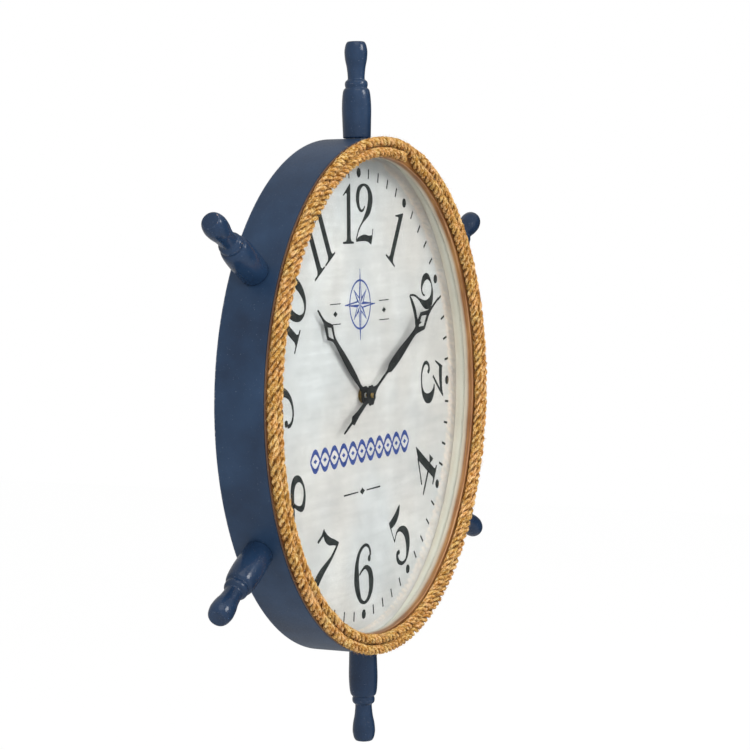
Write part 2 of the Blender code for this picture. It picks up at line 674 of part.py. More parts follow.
def make_handles(paint, steel):
    profile = [(0.0, HANDLE_TIP_RADIUS)]
    for share, width_share in HANDLE_PROFILE_SHARES:
        profile.append((HANDLE_RADIUS * width_share, HANDLE_TIP_RADIUS - HANDLE_LENGTH * share))
    profile.append((0.0, HANDLE_FOOT))
    bore = HANDLE_SCREW_RADIUS + GAP
    head_front = DRUM_INNER_RADIUS - GAP
    head_back = head_front - HANDLE_SCREW_HEAD
    screw_end = head_front + HANDLE_SCREW_LENGTH
    screws = []
    for number, angle in enumerate(handle_angles(), 1):
        handle = turned(profile, HANDLE_SEGMENTS, False, "Z")
        handle = add(f"handle_{number}", handle, paint, angle=angle, depth=HANDLE_DEPTH)
        hole = rod(bore, HANDLE_FOOT - OVERRUN, screw_end + GAP, axis="Z")
        bmesh.ops.translate(hole, verts=hole.verts, vec=(0.0, -HANDLE_DEPTH, 0.0))
        cut(handle, hole, angle=angle)
        screw = turned(
            [
                (0.0, head_back),
                (HANDLE_SCREW_HEAD_RADIUS, head_back),
                (HANDLE_SCREW_HEAD_RADIUS, head_front),
                (HANDLE_SCREW_RADIUS, head_front),
                (HANDLE_SCREW_RADIUS, screw_end),
                (0.0, screw_end),
            ],
            PIN_SEGMENTS,
            False,
            "Z",
        )
        bmesh.ops.translate(screw, verts=screw.verts, vec=(0.0, -HANDLE_DEPTH, 0.0))
        screws.append(turned_to(screw, angle))
    for number, screw in enumerate(screws, 1):
        add(f"handle_screw_{number}", screw, steel)


def make_face(glass, white, print_paper):
    add("glass_lens", rod(GLASS_RADIUS, GLASS_BACK, GLASS_FRONT, RING_SEGMENTS), glass)
    hoop = tube(HOOP_INNER_RADIUS, HOOP_OUTER_RADIUS, HOOP_BACK, HOOP_FRONT, RING_SEGMENTS)
    add("dial_hoop", hoop, white)
    board = tube(POST_HOLE_RADIUS, DIAL_RADIUS, DIAL_BACK, DIAL_FRONT, RING_SEGMENTS)
    board = add("dial_board", board, print_paper)
    pilot = BRACKET_SCREW_RADIUS + GAP
    for angle in bracket_angles():
        place = along(angle, DRUM_INNER_RADIUS - BRACKET_HOLE_INSET)
        cut(board, rod(pilot, DIAL_BACK - OVERRUN, DIAL_BACK + BRACKET_SCREW_BITE + GAP), place)


def make_brackets(zinc, steel):
    """Angle brackets, welded by one leg to the drum and screwed by the other to the dial board."""
    half = BRACKET_WIDTH / 2
    reach = math.sqrt((DRUM_INNER_RADIUS - GAP) ** 2 - half ** 2)
    leg_front = DIAL_BACK - GAP
    leg_back = leg_front - BRACKET_THICKNESS
    section = [
        (reach, leg_front),
        (reach - BRACKET_DIAL_LEG, leg_front),
        (reach - BRACKET_DIAL_LEG, leg_back),
        (reach - BRACKET_THICKNESS, leg_back),
        (reach - BRACKET_THICKNESS, BRACKET_ABOVE_WALL),
        (reach, BRACKET_ABOVE_WALL),
    ]
    head_front = leg_back - GAP
    head_back = head_front - BRACKET_SCREW_HEAD
    screw_end = DIAL_BACK + BRACKET_SCREW_BITE
    for number, angle in enumerate(bracket_angles(), 1):
        built = bmesh.new()
        face = built.faces.new([built.verts.new((-half, -depth, radius)) for radius, depth in section])
        pushed = bmesh.ops.extrude_face_region(built, geom=[face])["geom"]
        moved = [item for item in pushed if isinstance(item, bmesh.types.BMVert)]
        bmesh.ops.translate(built, verts=moved, vec=(BRACKET_WIDTH, 0.0, 0.0))
        bracket = add(f"dial_bracket_{number}", built, zinc, angle=angle)
        place = along(angle, DRUM_INNER_RADIUS - BRACKET_HOLE_INSET)
        cut(bracket, rod(BRACKET_SCREW_RADIUS + GAP, leg_back - OVERRUN, leg_front + OVERRUN), place)
        screw = turned(
            [
                (0.0, head_back),
                (BRACKET_SCREW_HEAD_RADIUS, head_back),
                (BRACKET_SCREW_HEAD_RADIUS, head_front),
                (BRACKET_SCREW_RADIUS, head_front),
                (BRACKET_SCREW_RADIUS, screw_end),
                (0.0, screw_end),
            ],
            PIN_SEGMENTS,
            False,
        )
        add(f"bracket_screw_{number}", screw, steel, place)


def make_hanger(zinc, steel):
    half = HANGER_WIDTH / 2
    corner = half - HANGER_CORNER
    outline = [
        (-half, HANGER_BOTTOM + HANGER_CORNER),
        (-corner, HANGER_BOTTOM),
        (corner, HANGER_BOTTOM),
        (half, HANGER_BOTTOM + HANGER_CORNER),
        (half, HANGER_TOP - HANGER_CORNER),
        (corner, HANGER_TOP),
        (-corner, HANGER_TOP),
        (-half, HANGER_TOP - HANGER_CORNER),
    ]
    plate = add("hanger_plate", prism(outline, HANGER_BACK, HANGER_FRONT), zinc)
    back = HANGER_BACK - OVERRUN
    front = HANGER_FRONT + OVERRUN
    cut(plate, rod(KEYHOLE_RADIUS, back, front, SMALL_SEGMENTS), (0.0, KEYHOLE_Z))
    slot = KEYHOLE_SLOT_WIDTH / 2
    slot_top = KEYHOLE_Z + KEYHOLE_SLOT_RISE
    cut(plate, block(-slot, slot, KEYHOLE_Z, slot_top, back, front))
    for number, side in enumerate((-1, 1), 1):
        place = (side * RIVET_SPREAD, RIVET_Z)
        hole = turned(
            [
                (0.0, back),
                (RIVET_RADIUS + GAP, back),
                (RIVET_RADIUS + GAP, RIVET_HEAD_BACK - GAP),
                (RIVET_HEAD_RADIUS + GAP, RIVET_HEAD_BACK - GAP),
                (RIVET_HEAD_RADIUS + GAP, front),
                (0.0, front),
            ],
            PIN_SEGMENTS,
            False,
        )
        cut(plate, hole, place)
        rivet = turned(
            [
                (0.0, 0.0),
                (RIVET_RADIUS, 0.0),
                (RIVET_RADIUS, RIVET_HEAD_BACK),
                (RIVET_HEAD_RADIUS, RIVET_HEAD_BACK),
                (RIVET_HEAD_RADIUS, HANGER_FRONT),
                (0.0, HANGER_FRONT),
            ],
            PIN_SEGMENTS,
            False,
        )
        add(f"hanger_rivet_{number}", rivet, steel, place)


def make_post_fittings(rubber, brass):
    pad = tube(POST_HOLE_RADIUS, RUBBER_RADIUS, RUBBER_BACK, RUBBER_FRONT, SMALL_SEGMENTS)
    add("rubber_washer", pad, rubber)
    washer = tube(POST_HOLE_RADIUS, WASHER_RADIUS, WASHER_BACK, WASHER_FRONT, SMALL_SEGMENTS)
    add("dial_washer", washer, brass)
    corner = NUT_ACROSS_FLATS / 2 / math.cos(math.pi / NUT_SIDES)
    outline = [along(2 * math.pi * i / NUT_SIDES, corner) for i in range(NUT_SIDES)]
    nut = add("dial_nut", prism(outline, NUT_BACK, NUT_FRONT), brass)
    cut(nut, rod(POST_HOLE_RADIUS, NUT_BACK - OVERRUN, NUT_FRONT + OVERRUN, SMALL_SEGMENTS))


def make_housing(black):
    side = CAVITY_HALF + MOVEMENT_WALL
    bottom = BAY_BOTTOM - MOVEMENT_WALL
    top = CAVITY_TOP + MOVEMENT_WALL
    housing = add("movement_housing", block(-side, side, bottom, top, HOUSING_REAR, HOUSING_FRONT), black)
    mouth = HOUSING_REAR - OVERRUN
    cut(housing, block(-CAVITY_HALF, CAVITY_HALF, TRAIN_BOTTOM, CAVITY_TOP, mouth, HOUSING_FLOOR))
    cut(housing, block(-CAVITY_HALF, CAVITY_HALF, BAY_BOTTOM, BAY_TOP, mouth, HOUSING_FLOOR))
    inside = HOUSING_FLOOR + MOVEMENT_WALL / 2
    for place in PILLARS:
        join(housing, rod(PILLAR_RADIUS, PLATE_FRONT + GAP, inside), place)
    for place in BOARD_PILLARS:
        join(housing, rod(PILLAR_RADIUS, BOARD_FRONT + GAP, inside), place)
    join(housing, rod(POST_RADIUS, inside, POST_END, SMALL_SEGMENTS))
    cut(housing, rod(POST_BORE_RADIUS, HOUSING_FLOOR - OVERRUN, POST_END + OVERRUN, SMALL_SEGMENTS))
    pivot = rod(MINUTE_ARBOR_RADIUS + GAP, HOUSING_FLOOR - OVERRUN, HOUSING_FLOOR + PIVOT_BITE + GAP)
    cut(housing, pivot, MINUTE_AXIS)


def make_plates(black, brass):
    half = PILLAR_X + PLATE_BESIDE_PILLAR
    plate = block(-half, half, PLATE_BOTTOM, PLATE_ABOVE_AXIS, PLATE_BACK, PLATE_FRONT)
    plate = add("train_plate", plate, brass)
    back = PLATE_BACK - OVERRUN
    front = PLATE_FRONT + OVERRUN
    for place in (CENTRE, *GOING_AXES):
        cut(plate, rod(ARBOR_RADIUS + GAP, back, front), place)
    cut(plate, rod(MINUTE_ARBOR_RADIUS + GAP, back, front), MINUTE_AXIS)
    top = CAVITY_TOP - GAP
    cover = block(-COVER_HALF, COVER_HALF, COVER_BOTTOM, top, COVER_REAR, COVER_FRONT)
    cover = add("movement_cover", cover, black)
    inside = COVER_REAR + MOVEMENT_WALL / 2
    for place in PILLARS:
        join(cover, rod(PILLAR_RADIUS, inside, PLATE_BACK - GAP), place)
    for place in GOING_AXES:
        cut(cover, rod(ARBOR_RADIUS + GAP, PIVOT_REAR - GAP, COVER_FRONT + OVERRUN), place)
    cut(cover, rod(MINUTE_ARBOR_RADIUS + GAP, COVER_REAR - OVERRUN, COVER_FRONT + OVERRUN), MINUTE_AXIS)


def make_battery(sleeve, steel):
    left = -CAVITY_HALF + GAP + CONTACT_THICKNESS
    start = left + CONTACT_DOME + GAP
    end = start + BATTERY_LENGTH
    shoulder = BATTERY_RADIUS - BATTERY_SHOULDER
    battery = turned(
        [
            (0.0, start),
            (shoulder, start),
            (BATTERY_RADIUS, start + BATTERY_SHOULDER),
            (BATTERY_RADIUS, end - BATTERY_SHOULDER),
            (shoulder, end),
            (BATTERY_NUB_RADIUS, end),
            (BATTERY_NUB_RADIUS, end + BATTERY_NUB),
            (0.0, end + BATTERY_NUB),
        ],
        SMALL_SEGMENTS,
        False,
        "X",
    )
    add("battery", battery, sleeve, (0.0, BATTERY_Z), depth=BATTERY_DEPTH)
    half = CONTACT_SIDE / 2
    right = end + BATTERY_NUB + GAP
    place = (0.0, BATTERY_Z)
    negative = block(left - CONTACT_THICKNESS, left, -half, half, -half, half)
    negative = add("contact_negative", negative, steel, place, depth=BATTERY_DEPTH)
    bump = rod(CONTACT_DOME_RADIUS, left - CONTACT_THICKNESS / 2, left + CONTACT_DOME, axis="X")
    bmesh.ops.translate(bump, verts=bump.verts, vec=(0.0, -BATTERY_DEPTH, 0.0))
    join(negative, bump, place)
    positive = block(right, right + CONTACT_THICKNESS, -half, half, -half, half)
    add("contact_positive", positive, steel, place, depth=BATTERY_DEPTH)


def make_electrics(iron, copper, board_green, can):
    shelf = STATOR_BOTTOM + STATOR_BODY_HEIGHT
    top = STATOR_BOTTOM + STATOR_HEIGHT
    outline = [
        (STATOR_LEFT, STATOR_BOTTOM),
        (STATOR_RIGHT, STATOR_BOTTOM),
        (STATOR_RIGHT, top),
        (STATOR_RIGHT - STATOR_LEG_WIDTH, top),
        (STATOR_RIGHT - STATOR_LEG_WIDTH, shelf),
        (STATOR_LEFT + STATOR_LEG_WIDTH, shelf),
        (STATOR_LEFT + STATOR_LEG_WIDTH, top),
        (STATOR_LEFT, top),
    ]
    stator = add("stator", prism(outline, STATOR_BACK, STATOR_FRONT), iron)
    room = rod(ROTOR_RADIUS + ROTOR_ROOM, STATOR_BACK - OVERRUN, STATOR_FRONT + OVERRUN, SMALL_SEGMENTS)
    cut(stator, room, ROTOR_AXIS)
    start = STATOR_LEFT + STATOR_LEG_WIDTH + GAP
    end = STATOR_RIGHT - STATOR_LEG_WIDTH - GAP
    coil = turned(
        [
            (0.0, start),
            (COIL_FLANGE_RADIUS, start),
            (COIL_FLANGE_RADIUS, start + COIL_FLANGE),
            (COIL_RADIUS, start + COIL_FLANGE),
            (COIL_RADIUS, end - COIL_FLANGE),
            (COIL_FLANGE_RADIUS, end - COIL_FLANGE),
            (COIL_FLANGE_RADIUS, end),
            (0.0, end),
        ],
        SMALL_SEGMENTS,
        False,
        "X",
    )
    add("coil", coil, copper, (0.0, top - COIL_BELOW_LEG_END), depth=(STATOR_BACK + STATOR_FRONT) / 2)
    board = block(BOARD_LEFT, BOARD_RIGHT, BOARD_BOTTOM, BOARD_TOP, BOARD_BACK, BOARD_FRONT)
    add("circuit_board", board, board_green)
    crystal_start = BOARD_LEFT + CRYSTAL_INSET
    crystal = rod(CRYSTAL_RADIUS, crystal_start, crystal_start + CRYSTAL_LENGTH, axis="X")
    add("quartz_crystal", crystal, can, (0.0, BOARD_MIDDLE), depth=BOARD_BACK - GAP - CRYSTAL_RADIUS)


def make_going_train(plastic, magnet):
    """The rotor and the third, fourth and fifth wheels: each wheel drives a pinion on the next arbor."""
    arbor = rod(ARBOR_RADIUS, PIVOT_REAR, CENTRE_WHEEL_FRONT + PINION_OVERRUN)
    third = add("third_wheel", arbor, plastic, THIRD_AXIS)
    pinion = toothed(THIRD_PINION_TEETH, FINE_MODULE, facing_gap(THIRD_DIRECTION, THIRD_PINION_TEETH))
    pinion_back = CENTRE_WHEEL_BACK - PINION_OVERRUN
    join(third, prism(pinion, pinion_back, CENTRE_WHEEL_FRONT + 2 * PINION_OVERRUN), THIRD_AXIS)
    wheel = toothed(THIRD_WHEEL_TEETH, THIRD_MODULE, FOURTH_DIRECTION)
    join(third, prism(wheel, THIRD_WHEEL_BACK, THIRD_WHEEL_FRONT), THIRD_AXIS)
    for name, place, wheel_back, wheel_front, wheel_outline, driven_back, driven_front, pinion_outline in (
        (
            "fourth_wheel",
            FOURTH_AXIS,
            FOURTH_WHEEL_BACK,
            FOURTH_WHEEL_FRONT,
            toothed(FOURTH_WHEEL_TEETH, FINE_MODULE, FIFTH_DIRECTION),
            THIRD_WHEEL_BACK,
            THIRD_WHEEL_FRONT,
            toothed(FOURTH_PINION_TEETH, THIRD_MODULE, facing_gap(FOURTH_DIRECTION, FOURTH_PINION_TEETH)),
        ),
        (
            "fifth_wheel",
            FIFTH_AXIS,
            FIFTH_WHEEL_BACK,
            FIFTH_WHEEL_FRONT,
            toothed(FIFTH_WHEEL_TEETH, FINE_MODULE, ROTOR_DIRECTION),
            FOURTH_WHEEL_BACK,
            FOURTH_WHEEL_FRONT,
            toothed(FIFTH_PINION_TEETH, FINE_MODULE, facing_gap(FIFTH_DIRECTION, FIFTH_PINION_TEETH)),
        ),
    ):
        arbor = add(name, rod(ARBOR_RADIUS, PIVOT_REAR, PIVOT_FRONT), plastic, place)
        join(arbor, prism(wheel_outline, wheel_back, wheel_front), place)
        pinion = prism(pinion_outline, driven_back - PINION_OVERRUN, driven_front + PINION_OVERRUN)
        join(arbor, pinion, place)
    rotor = turned(
        [
            (0.0, PIVOT_REAR),
            (ARBOR_RADIUS, PIVOT_REAR),
            (ARBOR_RADIUS, ROTOR_BACK),
            (ROTOR_RADIUS, ROTOR_BACK),
            (ROTOR_RADIUS, ROTOR_FRONT),
            (ARBOR_RADIUS, ROTOR_FRONT),
            (ARBOR_RADIUS, PIVOT_FRONT),
            (0.0, PIVOT_FRONT),
        ],
        SMALL_SEGMENTS,
        False,
    )
    rotor = add("rotor", rotor, magnet, ROTOR_AXIS)
    pinion = toothed(ROTOR_PINION_TEETH, FINE_MODULE, facing_gap(ROTOR_DIRECTION, ROTOR_PINION_TEETH))
    pinion = prism(pinion, FIFTH_WHEEL_BACK - PINION_OVERRUN, FIFTH_WHEEL_FRONT + PINION_OVERRUN)
    join(rotor, pinion, ROTOR_AXIS)


def make_motion_work(brass, plastic, black):
    """The centre wheel with the minute arbor, the minute wheel with its knob, and the hour wheel."""
    staff = turned(
        [
            (0.0, PLATE_BACK + GAP),
            (ARBOR_RADIUS, PLATE_BACK + GAP),
            (ARBOR_RADIUS, CANNON_FRONT - PINION_OVERRUN),
            (MINUTE_STAFF_RADIUS, CANNON_FRONT - PINION_OVERRUN / 2),
            (MINUTE_STAFF_RADIUS, STAFF_END),
            (MINUTE_TIP_RADIUS, STAFF_END),
            (MINUTE_TIP_RADIUS, STAFF_TIP),
            (0.0, STAFF_TIP),
        ],
        SMALL_SEGMENTS,
        False,
    )
    staff = add("centre_wheel", staff, brass)
    wheel = toothed(CENTRE_WHEEL_TEETH, FINE_MODULE, THIRD_DIRECTION)
    join(staff, prism(wheel, CENTRE_WHEEL_BACK, CENTRE_WHEEL_FRONT))
    pinion = toothed(CANNON_TEETH, MOTION_MODULE, MINUTE_DIRECTION)
    join(staff, prism(pinion, CANNON_BACK, CANNON_FRONT))
    arbor = rod(MINUTE_ARBOR_RADIUS, KNOB_REAR + KNOB_END + GAP, HOUSING_FLOOR + PIVOT_BITE)
    minute = add("minute_wheel", arbor, plastic, MINUTE_AXIS)
    wheel = toothed(MINUTE_WHEEL_TEETH, MOTION_MODULE, facing_gap(MINUTE_DIRECTION, MINUTE_WHEEL_TEETH))
    join(minute, prism(wheel, MINUTE_WHEEL_BACK, MINUTE_WHEEL_FRONT), MINUTE_AXIS)
    pinion = toothed(MINUTE_PINION_TEETH, MOTION_MODULE, MINUTE_DIRECTION + math.pi)
    pinion_back = MINUTE_WHEEL_FRONT - PINION_OVERRUN
    join(minute, prism(pinion, pinion_back, HOUR_WHEEL_FRONT + PINION_OVERRUN), MINUTE_AXIS)
    bore = MINUTE_STAFF_RADIUS + GAP
    pipe = tube(bore, HOUR_PIPE_RADIUS, HOUR_WHEEL_BACK, HOUR_PIPE_END, SMALL_SEGMENTS)
    hour = add("hour_wheel", pipe, plastic)
    wheel = toothed(HOUR_WHEEL_TEETH, MOTION_MODULE, MINUTE_DIRECTION + math.pi / HOUR_WHEEL_TEETH)
    join(hour, prism(wheel, HOUR_WHEEL_BACK, HOUR_WHEEL_FRONT))
    cut(hour, rod(bore, HOUR_WHEEL_BACK - OVERRUN, HOUR_PIPE_END + OVERRUN, SMALL_SEGMENTS))
    ribs = []
    for rib in range(KNOB_RIBS):
        middle = 2 * math.pi * rib / KNOB_RIBS
        quarter = math.pi / KNOB_RIBS / 2
        ribs += [along(middle - quarter, KNOB_RADIUS), along(middle + quarter, KNOB_RADIUS)]
        ribs.append(along(middle + 2 * quarter, KNOB_RADIUS * KNOB_RIB_SHARE))
    knob = add("setting_knob", prism(ribs, KNOB_REAR, KNOB_FRONT), black, MINUTE_AXIS)
    cut(knob, rod(MINUTE_ARBOR_RADIUS + GAP, KNOB_REAR + KNOB_END, KNOB_FRONT + OVERRUN), MINUTE_AXIS)


def hand_outline(length, half_width, shares, tail_length=0.0, tail_shares=()):
    """A hand along 12 o'clock, the same on both sides of its middle line."""
    right = [(half_width * width, length * share) for share, width in shares]
    tail = [(half_width * width, -tail_length * share) for share, width in reversed(tail_shares)]
    right = tail + right
    return right + [(-x, z) for x, z in reversed(right)]


def window_outline(length, half_width, shares):
    """A window along 12 o'clock, the same on both sides. An end of no width is a single point."""
    right = [(half_width * width, length * share) for share, width in shares]
    return right + [(-x, z) for x, z in reversed(right) if x > 0]


def make_hand(name, angle, outline, window, hub_radius, bore, back, front, black):
    hand = add(name, prism(outline, back, front), black, angle=angle)
    join(hand, rod(hub_radius, back, front, SMALL_SEGMENTS))
    cut(hand, prism(window, back - OVERRUN, front + OVERRUN), angle=angle)
    cut(hand, rod(bore, back - OVERRUN, front + OVERRUN, SMALL_SEGMENTS))


def make_hands(black, brass):
    half_width = HOUR_HAND_WIDTH / 2
    make_hand(
        "hour_hand",
        HOUR_HAND_ANGLE,
        hand_outline(HOUR_HAND_LENGTH, half_width, HOUR_HAND_SHARES),
        window_outline(HOUR_HAND_LENGTH, half_width, HOUR_WINDOW_SHARES),
        HOUR_HUB_RADIUS,
        HOUR_PIPE_RADIUS + GAP,
        HOUR_HAND_BACK,
        HOUR_HAND_FRONT,
        black,
    )
    half_width = MINUTE_HAND_WIDTH / 2
    make_hand(
        "minute_hand",
        MINUTE_HAND_ANGLE,
        hand_outline(MINUTE_HAND_LENGTH, half_width, MINUTE_HAND_SHARES, MINUTE_HAND_TAIL, MINUTE_TAIL_SHARES),
        window_outline(MINUTE_HAND_LENGTH, half_width, MINUTE_WINDOW_SHARES),
        MINUTE_HUB_RADIUS,
        MINUTE_TIP_RADIUS + GAP,
        MINUTE_HAND_BACK,
        MINUTE_HAND_FRONT,
        black,
    )
    nut = add("minute_hand_nut", rod(HAND_NUT_RADIUS, HAND_NUT_BACK, HAND_NUT_FRONT, SMALL_SEGMENTS), brass)
    cut(nut, rod(MINUTE_TIP_RADIUS + GAP, HAND_NUT_BACK - OVERRUN, HAND_NUT_FRONT - HAND_NUT_END))


def main():
    clear_scene()
    navy = finish("navy_painted_steel", "35435A", 0.45)
    stain = finish("stained_wood", "9B6D4A", 0.5)
    jute = finish("jute", "B68B53", 0.95)
    glass = finish("glass", "E6EFEA", 0.03)
    white = finish("white_card", "C5C7BA", 0.6)
    paper = finish("printed_dial", "DCE0DD", 0.7)
    zinc = finish("zinc_steel", "A9ADAF", 0.35, 1.0)
    steel = finish("screw_steel", "B4B4B0", 0.3, 1.0)
    rubber = finish("black_rubber", "1C1C1C", 0.8)
    brass = finish("brass", "B5924C", 0.3, 1.0)
    black = finish("black_plastic", "1B1C1D", 0.45)
    hand_black = finish("hand_lacquer", "2A2C2E", 0.35)
    magnet = finish("magnet", "4A4B4D", 0.4, 1.0)
    iron = finish("soft_iron", "8C8C8A", 0.4, 1.0)
    copper = finish("enamelled_copper", "B0623A", 0.35, 1.0)
    green = finish("circuit_board_green", "2F6B44", 0.5)
    sleeve = finish("battery_sleeve", "5B6670", 0.35)
    plastic = finish("wheel_plastic", "D8D6CC", 0.5)
    wood_navy = finish("navy_painted_wood", "35435A", 0.5)
    make_case(navy, stain)
    make_rope(jute)
    make_handles(wood_navy, steel)
    make_face(glass, white, paper)
    make_brackets(zinc, steel)
    make_hanger(zinc, steel)
    make_post_fittings(rubber, brass)
    make_housing(black)
    make_plates(black, brass)
    make_battery(sleeve, steel)
    make_electrics(iron, copper, green, steel)
    make_going_train(plastic, magnet)
    make_motion_work(brass, plastic, black)
    make_hands(hand_black, brass)


main()
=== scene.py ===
# %% [markdown]
# # The looks of a ship wheel clock
#
# A ship wheel clock is a round wall clock in the shape of a ship's wheel. A steel case is painted navy, six
# turned handles stand round it, a jute rope is laid twice round its front, and a printed dial lies behind
# glass.
#
# The clock's solids are loaded first. They hold its real sizes and its moving parts, and they never change
# here. This file gives them their looks: some solids only get a finish, and others are stood for by finer
# surfaces, such as three strands laid into a rope in place of a plain tube. Each surface is worked out with
# numpy as whole arrays of points, because a formula is easy to read, to change and to measure.

# %% Load the solids
import json
import math
from functools import partial

import bmesh
import bpy
import numpy as np
from mathutils import Matrix, Vector


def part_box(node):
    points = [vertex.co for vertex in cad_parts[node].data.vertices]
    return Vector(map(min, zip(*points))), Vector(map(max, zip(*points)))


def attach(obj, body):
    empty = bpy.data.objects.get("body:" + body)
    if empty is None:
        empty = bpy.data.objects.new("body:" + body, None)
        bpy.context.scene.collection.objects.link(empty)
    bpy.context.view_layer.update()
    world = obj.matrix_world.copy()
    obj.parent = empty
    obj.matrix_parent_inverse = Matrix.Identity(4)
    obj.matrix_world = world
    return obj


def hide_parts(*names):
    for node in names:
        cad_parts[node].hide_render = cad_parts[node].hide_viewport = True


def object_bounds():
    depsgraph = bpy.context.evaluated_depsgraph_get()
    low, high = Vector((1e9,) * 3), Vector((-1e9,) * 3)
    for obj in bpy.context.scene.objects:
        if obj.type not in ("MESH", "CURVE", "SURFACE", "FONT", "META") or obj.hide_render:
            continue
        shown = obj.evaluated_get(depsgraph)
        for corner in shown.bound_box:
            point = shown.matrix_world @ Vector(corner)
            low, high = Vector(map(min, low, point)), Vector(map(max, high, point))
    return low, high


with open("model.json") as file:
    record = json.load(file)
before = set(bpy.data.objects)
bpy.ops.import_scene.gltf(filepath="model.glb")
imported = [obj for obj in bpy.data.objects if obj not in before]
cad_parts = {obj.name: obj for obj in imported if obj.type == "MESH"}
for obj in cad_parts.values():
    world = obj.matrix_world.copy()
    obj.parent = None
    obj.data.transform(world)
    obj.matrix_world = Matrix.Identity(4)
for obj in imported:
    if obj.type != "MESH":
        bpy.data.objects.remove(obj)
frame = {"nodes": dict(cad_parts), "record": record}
cad_box = [list(corner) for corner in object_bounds()]
MM = 0.001
random = np.random.default_rng(12)
print("solids:", len(frame["nodes"]), "box in mm:", np.round(np.array(cad_box) / MM, 1).tolist())

# %% [markdown]
# The clock hangs on a wall. Its axis is the line x = 0, z = 0, and the wall is the plane y = 0. A depth is
# measured from the wall towards the room, so a point at depth d has y = -d. An angle on the clock starts at
# twelve and runs as the hands do, so its direction is (sin a, 0, cos a).
#
# No size of a solid is typed twice: the corners of the loaded meshes say where each one starts and ends.

# %% Read sizes from the solids
def corners(node):
    """Every corner of a solid, as rows of x, y, z in metres."""
    mesh = frame["nodes"][node].data
    flat = np.empty(len(mesh.vertices) * 3, np.float32)
    mesh.vertices.foreach_get("co", flat)
    return flat.reshape(-1, 3).astype(float)


def ring_of(node):
    """A solid's least and greatest distance from the clock's axis, then its least and greatest depth."""
    x, y, z = corners(node).T
    radius = np.hypot(x, z)
    return radius.min(), radius.max(), -y.max(), -y.min()


def direction(angle):
    """The clock angle a as the direction (sin a, 0, cos a), for one angle or an array of them."""
    return np.stack([np.sin(angle), np.zeros_like(angle), np.cos(angle)], axis=-1)


print("case drum, radii and depths in mm:", np.round(np.array(ring_of("case_drum")) / MM, 2))

# %% [markdown]
# ## From arrays to meshes
# A surface is a grid of points, and its faces join neighbours in the grid. Where the grid closes on itself,
# its last row joins its first. These faces never depend on the shape, so one function makes them all.
#
# A mesh also has to be closed, with its faces pointing out. The signed volume tells: it is the sum of
# v0 . (v1 x v2) / 6 over all triangles, and it is negative when a shape is inside out.

# %% Join a grid, and hand a mesh to the frame
def grid_faces(rows, columns, close_rows=False, close_columns=False):
    """The quads between neighbours of a grid whose point number is row * columns + column."""
    r = np.arange(rows if close_rows else rows - 1)
    c = np.arange(columns if close_columns else columns - 1)
    r, c = (a.ravel() for a in np.meshgrid(r, c, indexing="ij"))
    r_next, c_next = (r + 1) % rows, (c + 1) % columns
    around = [r * columns + c, r * columns + c_next, r_next * columns + c_next, r_next * columns + c]
    return np.stack(around, axis=-1)


def add_object(name, data):
    """Puts a new object with this data into the scene."""
    thing = bpy.data.objects.new(name, data)
    bpy.context.scene.collection.objects.link(thing)
    return thing


def add_piece(name, points, faces, finish, slot, body="root", stands_for=(), sharp=35, **fields):
    """Makes a closed mesh and hands it to the frame: the body that it rides on, and the solids that it
    stands for. slot, the record's slot of its finish, is not used. fields are values at each point, which
    the finish can read."""
    mesh = bpy.data.meshes.new(name)
    mesh.from_pydata(points.tolist(), [], faces)
    for key, values in fields.items():
        kind, socket = ("FLOAT", "value") if values.ndim == 1 else ("FLOAT_VECTOR", "vector")
        layer = mesh.attributes.new(key, kind, "POINT")
        layer.data.foreach_set(socket, values.astype(np.float32).ravel())
    solid = bmesh.new()
    solid.from_mesh(mesh)
    volume = solid.calc_volume(signed=True)
    solid.free()
    if volume < 0:
        mesh.flip_normals()
    mesh.shade_smooth()
    mesh.set_sharp_from_angle(angle=math.radians(sharp))
    mesh.materials.append(finish)
    piece = add_object(name, mesh)
    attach(piece, body)
    if stands_for:
        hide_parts(*stands_for)
    print(f"{name}: {len(mesh.polygons)} faces, {abs(volume) / MM ** 3 / 1000:.2f} cubic cm")
    return piece


def joined(shapes):
    """Several (points, faces) shapes as one: each one's faces count on from the points before it."""
    starts = np.cumsum([0] + [len(points) for points, _ in shapes])
    faces = [[corner + start for corner in face] for (_, some), start in zip(shapes, starts) for face in some]
    return np.vstack([points for points, _ in shapes]), faces


# %% [markdown]
# Two small tools shape every outline. One draws a smooth curve through a few given points. The other
# rounds the corners of an outline, because a real edge is never perfectly sharp, and the little round is
# what catches the light.

# %% Smooth curves and rounded corners
def through(rows, per_span=8, closed=False):
    """A smooth curve through rows of numbers, all columns alike. Each span is the Catmull-Rom cubic
    (2 b + (c - a) t + (2 a - 5 b + 4 c - d) t^2 + (3 b - a - 3 c + d) t^3) / 2 from b to c."""
    rows = np.asarray(rows, float)
    if closed:
        rows = np.vstack([rows[-1:], rows, rows[:2]])
    else:
        rows = np.vstack([2 * rows[0] - rows[1], rows, 2 * rows[-1] - rows[-2]])
    t = (np.arange(per_span) / per_span)[:, None]
    a, b, c, d = rows[:-3, None], rows[1:-2, None], rows[2:-1, None], rows[3:, None]
    spans = (2 * b + (c - a) * t + (2 * a - 5 * b + 4 * c - d) * t ** 2
             + (3 * b - a - 3 * c + d) * t ** 3) / 2
    curve = spans.reshape(-1, rows.shape[1])
    return curve if closed else np.vstack([curve, rows[-2]])


